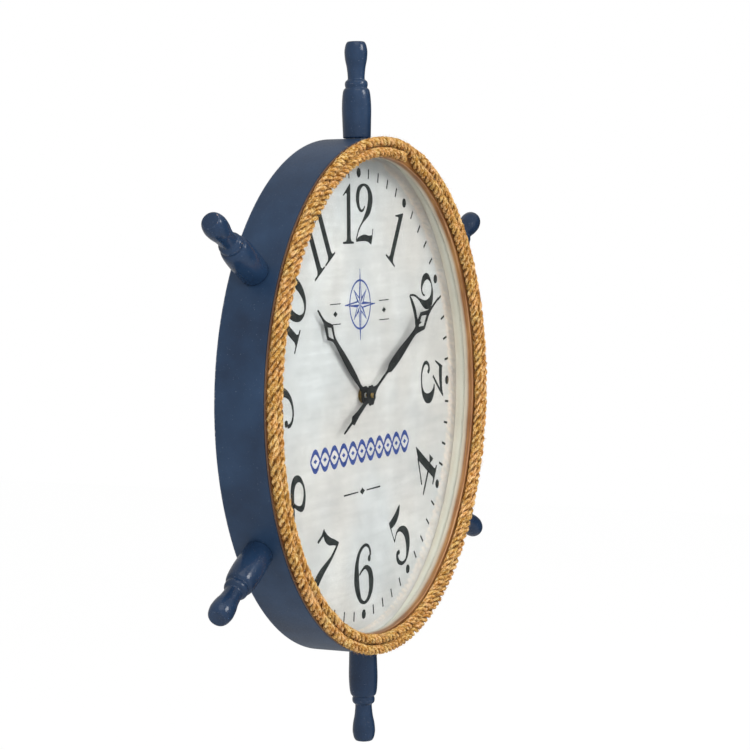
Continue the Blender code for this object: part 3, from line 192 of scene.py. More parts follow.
def rounded(outline, radius, steps=5, most=0.45):
    """A closed outline with round corners. Each corner p becomes the quadratic Bezier curve
    (1 - t)^2 a + 2 t (1 - t) p + t^2 b, where a and b lie on its two sides, a radius away, but never past
    the share most of a side."""
    p = np.asarray(outline, float)
    before, after = np.roll(p, 1, axis=0) - p, np.roll(p, -1, axis=0) - p
    length_before, length_after = (np.linalg.norm(v, axis=1, keepdims=True) for v in (before, after))
    reach = np.minimum(radius, most * np.minimum(length_before, length_after))
    a, b = p + before / length_before * reach, p + after / length_after * reach
    t = np.linspace(0, 1, steps + 1)[None, :, None]
    return ((1 - t) ** 2 * a[:, None] + 2 * t * (1 - t) * p[:, None] + t ** 2 * b[:, None]).reshape(-1, 2)


def finer(outline, step):
    """A closed outline whose long sides are cut into even pieces, none longer than a step. A field along
    the outline can then change where it should, and the rounded edges keep their shading to themselves."""
    rows = np.asarray(outline, float)
    after = np.roll(rows, -1, axis=0)
    pieces = np.maximum(1, np.ceil(np.linalg.norm(after - rows, axis=1) / step).astype(int))
    return np.vstack([a + (b - a) * np.arange(n)[:, None] / n for a, b, n in zip(rows, after, pieces)])


def turned(profile, count, origin=(0, 0, 0), axis=(0, -1, 0), closed=False):
    """A profile of (radius, distance along the axis) carried round an axis: origin + distance * axis
    + radius * (side cos a + across sin a). An open profile gets a flat face at each end."""
    profile, axis = np.asarray(profile, float), np.asarray(axis, float)
    side = np.array([0.0, 0, 1]) if abs(axis[2]) < 0.9 else np.array([1.0, 0, 0])
    side = side - axis * (side @ axis)
    side = side / np.linalg.norm(side)
    across = np.cross(axis, side)
    a = np.linspace(0, 2 * math.pi, count, endpoint=False)[:, None]
    out = side * np.cos(a) + across * np.sin(a)
    points = np.asarray(origin) + profile[None, :, 1:] * axis + profile[None, :, :1] * out[:, None]
    faces = grid_faces(count, len(profile), True, closed).tolist()
    if not closed:
        ends = np.arange(count) * len(profile)
        faces += [ends[::-1].tolist(), (ends + len(profile) - 1).tolist()]
    return points.reshape(-1, 3), faces


print("a square's corners rounded:", len(rounded([(0, 0), (1, 0), (1, 1), (0, 1)], 0.1)), "points")

# %% [markdown]
# ## From real finishes to materials
# A material is a small tree of nodes, built from the pattern to the shader, as paint is built up from the
# metal. Colours are written as they look on a screen, in sRGB hex, and one function turns them to the
# linear light that the nodes work in. A pattern's size is written in millimetres: a noise of scale s has
# blotches about 1 / s metres wide.
#
# A node's inputs are listed here in the order in which Blender shows them. A noise takes its place, scale,
# detail and roughness. A map range takes a value, the two ends of its range, and what these ends become,
# which is 0 and 1 if nothing is said. A mix takes its share, then the two things that it mixes. Math with
# MULTIPLY_ADD takes a pattern, its weight, and what the weighted pattern is added to.

# %% Nodes, colours and scales
def linear(colour):
    """An sRGB hex colour as linear light: s becomes ((s + 0.055) / 1.055) ** 2.4, or s / 12.92 if dark."""
    s = np.array([int(colour[i:i + 2], 16) for i in (0, 2, 4)]) / 255
    return (*np.where(s <= 0.04045, s / 12.92, ((s + 0.055) / 1.055) ** 2.4).tolist(), 1.0)


def add_node(tree, kind, inputs=(), stops=(), out=None, **settings):
    """Adds a node and gives back its first output, or the one that out names. inputs are listed, or named:
    numbers, hex colours, or the outputs that feed them. stops are a ramp's places with their colours. The
    other settings are the node's own."""
    node = tree.nodes.new("ShaderNode" + kind)
    for key, value in settings.items():
        setattr(node, key, value)
    shown = [socket for socket in node.inputs if socket.enabled]
    for key, value in inputs.items() if isinstance(inputs, dict) else enumerate(inputs):
        socket = node.inputs[key] if isinstance(key, str) else shown[key]
        if isinstance(value, bpy.types.NodeSocket):
            tree.links.new(value, socket)
        else:
            socket.default_value = linear(value) if isinstance(value, str) else value
    if stops:
        ramp = node.color_ramp.elements
        for element, (place, colour) in zip(ramp, (stops[0], stops[-1])):
            element.position, element.color = place, linear(colour)
        for place, colour in stops[1:-1]:
            ramp.new(place).color = linear(colour)
    results = [socket for socket in node.outputs if socket.enabled]
    return node.outputs[out] if out else next(iter(results), None)


def new_finish(name):
    """An empty material, the function that adds a node to it, and the place where its patterns are read."""
    material = bpy.data.materials.new(name)
    material.use_nodes = True
    material.node_tree.nodes.clear()
    add = partial(add_node, material.node_tree)
    return material, add, add("TexCoord", out="Object")


def close_finish(add, sockets, *reliefs):
    """Ends a finish with the main shader and these sockets. A relief is a height, its strength and its size
    in mm, and each one stands on the relief before it."""
    for height, strength, size in reliefs:
        below = {"Normal": sockets["Normal"]} if "Normal" in sockets else {}
        bump = add("Bump", {"Height": height, "Strength": strength, "Distance": size * MM, **below})
        sockets = {**sockets, "Normal": bump}
    add("OutputMaterial", [add("BsdfPrincipled", sockets)])


def blotches(size):
    """The scale of a noise whose blotches are about size millimetres wide."""
    return 1 / (size * MM)

# %% [markdown]
# ## The view and the light
# The camera stands where the photograph was taken from, to the left of the clock and a little above its
# middle, over two metres away. A long lens at that distance keeps the dial's oval nearly free of
# perspective.
#
# The light is soft and plain, so that a colour renders about as it is written. The world is white to the
# camera and to glass, but dimmer to matt surfaces, and three lamps shape the clock. The one in front stands
# above eye level, lights the dial, throws the hands' soft shadows on it and makes the bright spots on the
# handles. A very large one on the left fills the recess behind the rope, and one above picks out the top.
#
# The glass mirrors whatever stands on the right, which would wash out the print. A photographer hangs a
# black cloth there. Here the world has a dark spot on that side, and only glossy rays see it.

# %% Camera
CAMERA_AZIMUTH, CAMERA_ELEVATION, CAMERA_ROLL = -64.353, 4.440, -0.718
CAMERA_DISTANCE = 2.2281
CAMERA_LENS, CAMERA_SENSOR = 104.83, 36
CAMERA_SHIFT = (0.0515, 0.0260)


def standing(azimuth, elevation, distance):
    """The place and turn of what looks at the clock's middle, from two angles in degrees and a distance: it
    stands at (sin a cos e, -cos a cos e, sin e) times the distance."""
    a, e = math.radians(azimuth), math.radians(elevation)
    away = Vector((math.sin(a) * math.cos(e), -math.cos(a) * math.cos(e), math.sin(e)))
    return Matrix.Translation(away * distance) @ away.to_track_quat("Z", "Y").to_matrix().to_4x4()


camera_data = bpy.data.cameras.new("camera")
camera_data.sensor_width, camera_data.lens = CAMERA_SENSOR, CAMERA_LENS
camera_data.shift_x, camera_data.shift_y = CAMERA_SHIFT
camera = add_object("camera", camera_data)
camera.matrix_world = (standing(CAMERA_AZIMUTH, CAMERA_ELEVATION, CAMERA_DISTANCE)
                       @ Matrix.Rotation(math.radians(CAMERA_ROLL), 4, "Z"))
bpy.context.scene.camera = camera
bpy.context.scene.view_settings.view_transform = "Standard"
print("camera at", [round(c, 4) for c in camera.location], "looking at the middle of the dial")

# %% Backdrop and floor
WORLD_STRENGTH, GLOSS_STRENGTH, CLOTH_STRENGTH = 0.5, 0.5, 0.06
CLOTH_DIRECTION, CLOTH_FADE = (0.90, -0.43, -0.05), (0.72, 0.92)
FLOOR_DEPTH_BELOW, FLOOR_SIZE, FLOOR_GRIT_SCALE = 0.30, 8.0, 2.0
FLOOR_GLOW_SHARE, FLOOR_GLOW = 0.92, 1.04

world = bpy.data.worlds.new("white studio")
world.use_nodes = True
world.node_tree.nodes.clear()
bpy.context.scene.world = world
add = partial(add_node, world.node_tree)
ray = add("LightPath").node.outputs
seen = add("Math", [ray["Is Camera Ray"], ray["Is Transmission Ray"]], operation="MAXIMUM")
toward = add("VectorMath", [add("TexCoord", out="Generated"), CLOTH_DIRECTION], operation="DOT_PRODUCT")
cloth = add("MapRange", [toward, *CLOTH_FADE, GLOSS_STRENGTH, CLOTH_STRENGTH])
to_matt, to_eye, to_gloss = (add("Background", ["FFFFFF", strength])
                             for strength in (WORLD_STRENGTH, 1, cloth))
both = add("MixShader", [seen, to_matt, to_eye])
add("OutputWorld", [add("MixShader", [ray["Is Glossy Ray"], both, to_gloss])])


def pale_floor():
    """A matt pale floor. Camera rays also see it glow a little, so that it is as white as the backdrop but
    keeps the clock's shadow. From below it is clear, so the clock can be looked at from there too."""
    material, add, place = new_finish("pale_matt_floor")
    grit = add("TexNoise", [place, FLOOR_GRIT_SCALE])
    matt = add("BsdfDiffuse", [add("ValToRGB", [grit], [(0.3, "EDEDEC"), (0.7, "F2F2F1")])])
    glow = add("Emission", ["FFFFFF", FLOOR_GLOW])
    share = add("Math", [add("LightPath", out="Is Camera Ray"), FLOOR_GLOW_SHARE], operation="MULTIPLY")
    above = add("MixShader", [share, matt, glow])
    below = add("NewGeometry", out="Backfacing")
    add("OutputMaterial", [add("MixShader", [below, above, add("BsdfTransparent")])])
    return material


half, drop = FLOOR_SIZE / 2, cad_box[0][2] - FLOOR_DEPTH_BELOW
floor_mesh = bpy.data.meshes.new("floor")
square = [(-half, -half, drop), (half, -half, drop), (half, half, drop), (-half, half, drop)]
floor_mesh.from_pydata(square, [], [(0, 1, 2, 3)])
floor_mesh.materials.append(pale_floor())
floor = add_object("floor", floor_mesh)
# Neither face of the glass mirrors the floor. A ray from its back face counts as a transmitted one.
floor.visible_glossy = floor.visible_transmission = False
print("floor at", round(drop, 3), "m")

# %% Lamps
def add_lamp(name, azimuth, elevation, distance, size, watts, mirrored=True):
    """A square soft lamp that looks at the clock's middle. One that isn't mirrored leaves no bright spot on
    glossy paint."""
    lamp = bpy.data.lights.new(name, "AREA")
    lamp.size, lamp.energy = size, watts
    holder = add_object(name, lamp)
    holder.visible_glossy = mirrored
    holder.matrix_world = standing(azimuth, elevation, distance)


add_lamp("lamp_front", 4, 30, 3.0, 1.0, 26)
add_lamp("lamp_left", -56, 14, 5.0, 3.4, 135, mirrored=False)
add_lamp("lamp_above", -50, 60, 2.4, 1.6, 8)
print("lamps:", [lamp.name for lamp in bpy.data.lights])

# %% [markdown]
# ## Navy paint
# The case is thin steel and the handles are turned wood, but both were painted with the same satin navy.
# Such paint is never one colour: it was laid on by brush, it is a little thicker here and thinner there,
# and it rubs through where hands and cloths touch it. A painted edge wears first, so the surfaces carry a
# field named wear, near 1 along their edges, and a noise breaks it into chips.

# %% The finish of navy paint, over steel or over wood
def navy_paint(name, tones, under, chip_size, chip_limit, relief, lumps, nibs, rough):
    """Satin alkyd paint. It gives the eye a soft, wide sheen over deep blue, with paler rubbed edges and
    sparse pale specks. The specks are painted glints, and on the handles' rims the paler rubbed paint is
    partly a painted highlight. tones are its thick, middle and thin coats, and under is what the chips show.
    Chips are chip_size mm wide, and a lower chip_limit makes more of them. relief is the height of its grit
    in mm, lumps and nibs say how many times higher its brush marks and the dust caught in it stand, and rough
    is its middle roughness."""
    material, add, place = new_finish(name)
    wear = add("Attribute", out="Fac", attribute_name="wear")
    drift = add("TexNoise", [place, blotches(60), 5, 0.6])
    paint = add("ValToRGB", [drift], list(zip((0.30, 0.50, 0.72), tones)))
    fine = add("TexNoise", [place, blotches(chip_size), 6, 0.65])
    scuff = add("TexNoise", [place, blotches(14), 3])
    rubbed = add("Math", [wear, 0.62, fine], operation="MULTIPLY_ADD")
    rubbed = add("Math", [scuff, 0.25, rubbed], operation="MULTIPLY_ADD")
    chips = add("MapRange", [rubbed, chip_limit, chip_limit + 0.05])
    # halo is pale thin paint round the chips; on the handles' knob rim and bead it is also a painted
    # highlight.
    halo = add("MapRange", [rubbed, chip_limit - 0.16, chip_limit + 0.02, 0, 0.45])
    bare = add("ValToRGB", [scuff], [(0.35, under[0]), (0.65, under[1])])
    colour = add("Mix", [halo, paint, "6B7488"], data_type="RGBA")
    colour = add("Mix", [chips, colour, bare], data_type="RGBA")
    # Painted glints: sparse pale specks that stand in for glints of light on lumpy paint.
    speck = add("MapRange", [add("TexNoise", [place, blotches(1.1), 1]), 0.74, 0.79, 0, 0.55])
    colour = add("Mix", [speck, colour, "8C96A8"], data_type="RGBA")
    gloss = add("MapRange", [fine, 0.3, 0.7, rough - 0.08, rough + 0.08])
    height = add("Math", [chips, -1.5, fine], operation="MULTIPLY_ADD")
    brushed = add("TexNoise", [place, blotches(5), 2])
    height = add("Math", [brushed, lumps, height], operation="MULTIPLY_ADD")
    dust = add("MapRange", [add("TexNoise", [place, blotches(2.8), 1]), 0.62, 0.72])
    height = add("Math", [dust, nibs, height], operation="MULTIPLY_ADD")
    close_finish(add, {"Base Color": colour, "Roughness": gloss, "Specular IOR Level": 0.45},
                 (height, 0.5, relief))
    return material


navy_on_steel = navy_paint("satin_navy_paint_on_steel", ("1B2D45", "213752", "29415E"), ("7C8084", "9B9A96"),
                           chip_size=1.6, chip_limit=1.12, relief=0.03, lumps=1, nibs=0, rough=0.44)
navy_on_wood = navy_paint("satin_navy_paint_on_wood", ("17283F", "1D324D", "253C59"), ("A98A72", "C3A68C"),
                          chip_size=1.8, chip_limit=1.12, relief=0.03, lumps=6, nibs=10, rough=0.19)
print("paints:", navy_on_steel.name, "and", navy_on_wood.name)

# %% [markdown]
# ## The case
# The case is a strip of thin steel, rolled into a band and closed by a flat ring at the wall. Both are an
# outline of radius and depth turned round the clock's axis. The solids have these outlines already, with
# facets, so the finer rings take their sizes from them and add the small rounds of a pressed edge.

# %% Case drum and back ring
CASE_SEGMENTS = 360
SHEET_EDGE_ROUND = 0.3 * MM
WEAR_REACH = 1.2 * MM
SIDE_STEP = 2.5 * MM


def section(node):
    """The corners of a plain ring's section, from its solid: inner and outer at the wall side, then outer
    and inner at the front."""
    inner, outer, low, high = ring_of(node)
    return [(inner, low), (outer, low), (outer, high), (inner, high)]


def near(outline, places):
    """exp(-d / reach) at each point of an outline, where d is its distance to the nearest of the places."""
    gap = np.linalg.norm(np.asarray(outline)[:, None] - np.asarray(places)[None], axis=-1).min(axis=1)
    return np.exp(-gap / WEAR_REACH)


def add_ring(name, node, edge_round, finish, slot, worn=None):
    """A plain ring round the clock's axis with rounded corners, worn near one corner of its section."""
    corner_points = section(node)
    profile = finer(rounded(corner_points, edge_round), SIDE_STEP)
    points, faces = turned(profile, CASE_SEGMENTS, closed=True)
    wear = np.zeros(len(profile)) if worn is None else near(profile, [corner_points[worn]])
    add_piece(name, points, faces, finish, slot, stands_for=[node], wear=np.tile(wear, CASE_SEGMENTS))


add_ring("painted_drum", "case_drum", SHEET_EDGE_ROUND, navy_on_steel, "navy_painted_steel", worn=1)
add_ring("painted_back_ring", "back_ring", SHEET_EDGE_ROUND, navy_on_steel, "navy_painted_steel", worn=0)

# %% [markdown]
# ## The bezel ring
# The ring inside the front of the case is wood with a brown stain. It could take its grain from flat
# coordinates, but this ring is bent from a strip, so its grain runs round it. Each point therefore carries
# a field named grain: the noise is read at z and x in long cells and at the radius and depth in narrow
# ones, so the streaks follow the ring and close on themselves.
#
# Its inner wall was painted pale together with the hoop behind it, and the brown starts only near the
# front, without a clear edge. A second field, pale, is 1 deep in the wall and 0 at its front. A third,
# shade, is 1 on the outer side, in the corner under the rope beside the steel, where the wood gets a
# painted shade.

# %% The finish of brown stain over wood
def stained_wood():
    """Beech with a brown spirit stain. It gives the eye fine dark streaks in a warm, satin brown."""
    material, add, place = new_finish("brown_stained_beech")
    grain = add("Attribute", out="Vector", attribute_name="grain")
    wear, pale, shade = (add("Attribute", out="Fac", attribute_name=field)
                         for field in ("wear", "pale", "shade"))
    streaks = add("TexNoise", [grain, 1, 5, 0.7])
    patches = add("TexNoise", [place, blotches(40), 3])
    mixed = add("Math", [patches, 0.5, streaks], operation="MULTIPLY_ADD")
    stain = add("ValToRGB", [mixed],
                [(0.50, "643B1A"), (0.68, "895930"), (0.82, "9F703D"), (0.95, "B2834B")])
    rubbed = add("Math", [wear, 0.5, streaks], operation="MULTIPLY_ADD")
    rubbed = add("MapRange", [rubbed, 0.72, 0.95, 0, 0.7])
    colour = add("Mix", [rubbed, stain, "C79B76"], data_type="RGBA")
    painted = add("Math", [patches, 0.5, pale], operation="MULTIPLY_ADD")
    painted = add("MapRange", [painted, 0.45, 1.35])
    colour = add("Mix", [painted, colour, "C9C6B6"], data_type="RGBA")
    # Painted shade: the outer side of the ring, under the rope beside the steel, is darkened.
    painted_corner_shade = add("Math", [shade, 0.8], operation="MULTIPLY")
    colour = add("Mix", [painted_corner_shade, colour, "3F3534"], data_type="RGBA")
    rough = add("MapRange", [streaks, 0, 1, 0.38, 0.58])
    close_finish(add, {"Base Color": colour, "Roughness": rough}, (streaks, 0.4, 0.15))
    return material


# %% The bezel ring
# The streaks of real beech are less than half as wide, too fine for the picture.
GRAIN_LENGTH, GRAIN_WIDTH, GRAIN_SLANT = 60 * MM, 1.6 * MM, 1.3
RING_EDGE_ROUND = 0.8 * MM
RING_ROOM = 0.3 * MM
PALE_SHARE, PALE_START, PALE_SKIN = 0.45, 1.5, 0.5 * MM
# The width over which the outer side's painted shade fades out.
SHADE_STRIP_WIDTH = 2 * MM

inner, outer, low, high = ring_of("bezel_ring")
drum_inner, _, _, drum_rim = ring_of("case_drum")
side, lip = drum_inner - RING_ROOM, drum_rim + RING_ROOM
outline = [(inner, low), (side, low), (side, lip), (outer, lip), (outer, high), (inner, high)]
profile = finer(rounded(outline, RING_EDGE_ROUND), SIDE_STEP)
points, faces = turned(profile, CASE_SEGMENTS, closed=True)
x, y, z = points.T
radius = np.hypot(x, z)
grain = np.stack([z / GRAIN_LENGTH, x / GRAIN_LENGTH, (radius - GRAIN_SLANT * y) / GRAIN_WIDTH], axis=-1)
pale = np.clip(PALE_START - (-y - low) / (high - low) / PALE_SHARE, 0, 1) * (radius < inner + PALE_SKIN)
add_piece("stained_bezel_ring", points, faces, stained_wood(), "stained_wood", stands_for=["bezel_ring"],
          grain=grain, pale=pale, shade=np.clip((radius - outer) / SHADE_STRIP_WIDTH + 1, 0, 1),
          wear=np.tile(near(profile, [(inner, high)]), CASE_SEGMENTS))

# %% [markdown]
# ## The six handles
# A turner makes each handle on a lathe: a knob for the palm, a waist, a bead, and a barrel that swells
# towards the case. One profile gives all six. It is drawn in smooth runs that meet at crisp cuts, as shares
# of the handle's length and greatest radius. Then the whole profile is softened a little, because paint
# fills the cuts and rounds the corners.

# %% One profile, turned about six axes
HANDLE_SEGMENTS = 80
HANDLE_ANGLE = math.radians(60)
PROFILE_STEP = 0.7 * MM
PAINT_PASSES = 3
POLE_SHARE = 0.02
HANDLE_RUNS_SHARES = (
    ((0, 0), (0, 0.55)),
    ((0.004, 0.60), (0.040, 0.715), (0.095, 0.784)),
    ((0.130, 0.781), (0.197, 0.736), (0.259, 0.649), (0.342, 0.588), (0.394, 0.574)),
    ((0.400, 0.66), (0.412, 0.745), (0.438, 0.785), (0.466, 0.765), (0.480, 0.716)),
    ((0.486, 0.80), (0.500, 0.88), (0.560, 0.955), (0.684, 1), (0.829, 0.98), (1, 0.946)),
    ((1, 0),),
)
# The handles wear at the knob's rim and at the bead, and there the paler rubbed paint also paints the
# highlight along those edges.
WEAR_AND_HIGHLIGHT_SHARES = ((0.0, 0.56), (0.438, 0.785))
WEAR_AND_HIGHLIGHT_STRENGTH = 0.75


def drawn(runs):
    """Smooth runs that meet at crisp corners, as one line. Each run goes on from the last point before it."""
    lines = [through(runs[0])]
    lines += [through((before[-1], *run))[1:] for before, run in zip(runs, runs[1:])]
    return np.vstack(lines)


def softened(profile, step, passes):
    """An open profile at even steps along its length. Each pass then moves every inner point to
    (before + 2 itself + after) / 4, which rounds its corners."""
    lengths = np.concatenate([[0], np.cumsum(np.linalg.norm(np.diff(profile, axis=0), axis=1))])
    even = np.linspace(0, lengths[-1], int(lengths[-1] / step) + 1)
    rows = np.stack([np.interp(even, lengths, column) for column in profile.T], axis=-1)
    for _ in range(passes):
        rows[1:-1] = (rows[:-2] + 2 * rows[1:-1] + rows[2:]) / 4
    return rows


def add_handle(number):
    """A handle on its own axis, which runs out from the clock's axis at the clock angle of its solid."""
    solid = corners(f"handle_{number}")
    middle = solid.mean(axis=0)
    axis = direction(np.array(round(math.atan2(middle[0], middle[2]) / HANDLE_ANGLE) * HANDLE_ANGLE))
    distance = solid @ axis
    foot, tip = distance.min(), distance.max()
    front, back = solid[:, 1].min(), solid[:, 1].max()
    widest = (back - front) / 2

    def sized(shares):
        """(share of the length from the tip, share of the radius) as (radius, distance along the axis)."""
        share, radius = np.asarray(shares, float).T
        return np.stack([radius * widest, tip - share * (tip - foot)], axis=-1)

    profile = softened(sized(drawn(HANDLE_RUNS_SHARES)), PROFILE_STEP, PAINT_PASSES)
    profile[[0, -1], 0] = POLE_SHARE * widest
    points, faces = turned(profile, HANDLE_SEGMENTS, (0, (front + back) / 2, 0), axis)
    wear = WEAR_AND_HIGHLIGHT_STRENGTH * near(profile, sized(WEAR_AND_HIGHLIGHT_SHARES))
    add_piece(f"turned_handle_{number}", points, faces, navy_on_wood, "navy_painted_wood",
              stands_for=[f"handle_{number}"], wear=np.tile(wear, HANDLE_SEGMENTS))


for number in range(1, 7):
    add_handle(number)

# %% [markdown]
# ## The rope
# The trim is one jute rope, laid on the ring in two turns beside each other. Its middle line is an arc of
# the outer row that drifts inward by one rope's width over a few degrees, and then runs on as the inner
# row.
#
# A laid rope is three strands twisted round each other, and each strand is a bundle of yarns twisted the
# other way, which is what keeps it from unwinding. Seen from any side, the strands of this rope climb to
# the right as a right-hand screw does. A plain tube with a bump map would keep a smooth outline, so the
# strands are modelled: each is an oval carried along a helix round the rope's middle line.

# %% The rope's middle line
ROPE_WIDTH = 10.2 * MM
ROPE_PITCH = 10.65 * MM
ROPE_SEAM_ANGLE, ROPE_CLIMB_ANGLE, ROPE_END_ANGLE = (math.radians(a) for a in (20, 7, 0.6))
ROPE_TAIL_ANGLE = math.radians(5.6)
ROPE_STEP = 1.25 * MM

_, rope_reach, rope_back, rope_front = ring_of("rope_trim")
rope_outer_row = rope_reach - ROPE_WIDTH / 2
rope_depth = (rope_back + rope_front) / 2


def rope_line():
    """The rope's middle at even steps, and its thickness there as a share. It turns for two turns at angle
    A + t, at the outer row's radius less the pitch times 3 s^2 - 2 s^3, where s goes from 0 to 1 over the
    climb at the end of the first turn. Before t = 0 it tapers into the room that the climb leaves beside
    it."""
    first_turn = 2 * math.pi - ROPE_END_ANGLE
    climb_start = first_turn - ROPE_CLIMB_ANGLE
    last = 2 * first_turn - ROPE_CLIMB_ANGLE - 2 * ROPE_END_ANGLE
    t = np.linspace(-ROPE_TAIL_ANGLE, last, int((last + ROPE_TAIL_ANGLE) * rope_outer_row / ROPE_STEP))
    s, beside = (np.clip((t + turn - climb_start) / ROPE_CLIMB_ANGLE, 0, 1) for turn in (0, 2 * math.pi))
    share = beside ** 2 * (3 - 2 * beside)
    radius = rope_outer_row - ROPE_PITCH * s * s * (3 - 2 * s) + (1 - share) * ROPE_WIDTH / 2
    line = radius[:, None] * direction(ROPE_SEAM_ANGLE + t)
    line[:, 1] = -rope_depth
    return line, share


def unit(rows):
    """Each row divided by its length."""
    return rows / np.linalg.norm(rows, axis=-1, keepdims=True)


line, rope_share = rope_line()
rope_length = np.concatenate([[0], np.cumsum(np.linalg.norm(np.diff(line, axis=0), axis=1))])
rope_forward = unit(np.gradient(line, axis=0))
rope_outward = unit(line * [1, 0, 1])
rope_outward = unit(rope_outward - rope_forward * (rope_outward * rope_forward).sum(axis=1, keepdims=True))
rope_across = np.cross(rope_forward, rope_outward)
print("rope:", round(rope_length[-1], 3), "m at", len(line), "points")

# %% [markdown]
# Jute is a dry, matt fibre of a golden brown. Its yarns vary in tone, and its fibres show as fine streaks
# along the twist. The grooves between the strands are painted darker, partly as dust and partly as painted
# shade. Matted knots of fibre, about 3 mm wide, stand up and catch the light, and the brown drifts between
# two shades along the rope. The streaks have to follow the twist, so every point carries its place in the
# strand as it was before twisting, in cells 0.5 mm wide and 5 mm long. A real fibre is about 0.06 mm wide,
# too fine to show in the picture, so a cell stands for a bunch of them. How deep a point lies in the rope is
# a second field, and it sets where the grooves get their dust and painted shade.

# %% The finish of jute
FIBRE_WIDTH, FIBRE_LENGTH = 0.5 * MM, 5 * MM


def jute():
    """Spun jute. It gives the eye dull gold streaks, grooves darkened by dust and painted shade, and only the
    faint sheen of its down.
    """
    material, add, place = new_finish("spun_jute")
    fibre = add("Attribute", out="Vector", attribute_name="fibre")
    deep = add("Attribute", out="Fac", attribute_name="deep")
    streaks = add("TexNoise", [fibre, 1, 3, 0.6])
    yarns = add("TexNoise", [fibre, 0.28, 2])
    knots = add("TexNoise", [place, blotches(3.2), 2, 0.6])
    batches = add("TexNoise", [place, blotches(16), 2])
    tone = add("Math", [yarns, 0.7, streaks], operation="MULTIPLY_ADD")
    tone = add("Math", [knots, 1.2, tone], operation="MULTIPLY_ADD")
    gold = add("ValToRGB", [add("MapRange", [tone, 1.13, 1.70])],
               [(0.12, "8E5E22"), (0.36, "C89048"), (0.60, "E3B26D"), (0.86, "F8D6A3")])
    shade = add("ValToRGB", [batches], [(0.38, "FFF3EA"), (0.62, "FAFDE6")])
    gold = add("Mix", [1, gold, shade], data_type="RGBA", blend_type="MULTIPLY")
    # The grooves are darkened by depth: partly dust, partly painted shade.
    groove_dust_and_shade = add("MapRange", [deep, 0.36, 0.96, 0, 0.80])
    colour = add("Mix", [groove_dust_and_shade, gold, "7C4C12"], data_type="RGBA")
    close_finish(add, {"Base Color": colour, "Roughness": 0.92, "Specular IOR Level": 0.1,
                       "Sheen Weight": 0.05, "Sheen Roughness": 0.6}, (streaks, 0.9, 0.45), (knots, 1, 1.6))
    return material


jute_finish = jute()
print("finish:", jute_finish.name)

# %% [markdown]
# Now the strands. Each one's section is an oval, a little thicker towards the rope's outside, with a
# shallow scallop for each of its yarns. Hand-laid rope isn't even, so a slow random drift makes each strand
# swell and tighten along its way.

# %% Three strands, laid right-handed
STRANDS = 3
LAY_LENGTH = 25 * MM
STRAND_FROM_MIDDLE = 2.72 * MM
STRAND_HALF_THICK, STRAND_HALF_WIDE = 2.38 * MM, 2.2 * MM
YARNS, YARN_DEPTH_SHARE, YARN_LAY = 5, 0.36, 15 * MM
AROUND = 35
DRIFT_STEP, LUMP_STEP = 16 * MM, 3 * MM
LAY_DRIFT, SWELL_SHARE, LUMP_SHARE = 0.20, 0.035, 0.11
GROOVE_OF_ROPE, GROOVE_OF_YARN, GROOVE_START = 2.2, 0.9, 0.2
FIBRE_SHIFT = 31.7
STRAND_SHARP = 75


def drift(distance, step):
    """A smooth random number along a length: normal numbers a step apart, joined by smooth curves."""
    knots = random.normal(size=int(distance[-1] / step) + 3)
    place = distance / step
    index, t = place.astype(int), place % 1
    t = t * t * (3 - 2 * t)
    return knots[index] * (1 - t) + knots[index + 1] * t


def add_strand(number):
    """The points middle + (half thickness cos b) out + (half width sin b) aside, where middle is a helix
    round the rope's line, out points away from that line, and a yarn's scallop scales both halves."""
    turns = rope_length / LAY_LENGTH + number / STRANDS
    lay = 2 * math.pi * turns + LAY_DRIFT * drift(rope_length, DRIFT_STEP)
    out = rope_outward * np.cos(lay)[:, None] + rope_across * np.sin(lay)[:, None]
    middle = line + STRAND_FROM_MIDDLE * rope_share[:, None] * out
    aside = unit(np.cross(unit(np.gradient(middle, axis=0)), out))
    b = np.linspace(0, 2 * math.pi, AROUND, endpoint=False)[None, :]
    own = b + 2 * math.pi * rope_length[:, None] / YARN_LAY
    scallop = 1 - YARN_DEPTH_SHARE * (1 - np.abs(np.cos(YARNS * own / 2)))
    lumps = np.stack([drift(rope_length, LUMP_STEP) for _ in range(YARNS)], axis=-1)
    yarn = (own * YARNS / (2 * math.pi) + 0.5).astype(int) % YARNS
    scallop = scallop * (1 + LUMP_SHARE * np.take_along_axis(lumps, yarn, axis=1))
    swell = (rope_share * (1 + SWELL_SHARE * drift(rope_length, DRIFT_STEP)))[:, None]
    thick, wide = STRAND_HALF_THICK * scallop * swell, STRAND_HALF_WIDE * scallop * swell
    offset = (thick * np.cos(b))[..., None] * out[:, None] + (wide * np.sin(b))[..., None] * aside[:, None]
    points = middle[:, None] + offset
    # deep is how far a point lies in the rope's grooves; the finish paints dust and shade there.
    reach = (STRAND_FROM_MIDDLE + STRAND_HALF_THICK) * rope_share[:, None]
    in_rope = 1 - np.linalg.norm(points - line[:, None], axis=-1) / reach
    in_strand = (1 - scallop) / YARN_DEPTH_SHARE
    deep = np.clip(GROOVE_OF_ROPE * in_rope + GROOVE_OF_YARN * in_strand - GROOVE_START, 0, 1)
    fibre = np.stack([
        thick * np.cos(own) / FIBRE_WIDTH,
        thick * np.sin(own) / FIBRE_WIDTH,
        np.broadcast_to(rope_length[:, None] / FIBRE_LENGTH + FIBRE_SHIFT * number, own.shape),
    ], axis=-1)
    ends = np.arange(AROUND)
    faces = grid_faces(len(line), AROUND, False, True).tolist()
    faces += [ends[::-1].tolist(), (ends + (len(line) - 1) * AROUND).tolist()]
    add_piece(f"rope_strand_{number + 1}", points.reshape(-1, 3), faces, jute_finish, "jute",
              stands_for=["rope_trim"], sharp=STRAND_SHARP, fibre=fibre.reshape(-1, 3), deep=deep.ravel())


for number in range(STRANDS):
    add_strand(number)

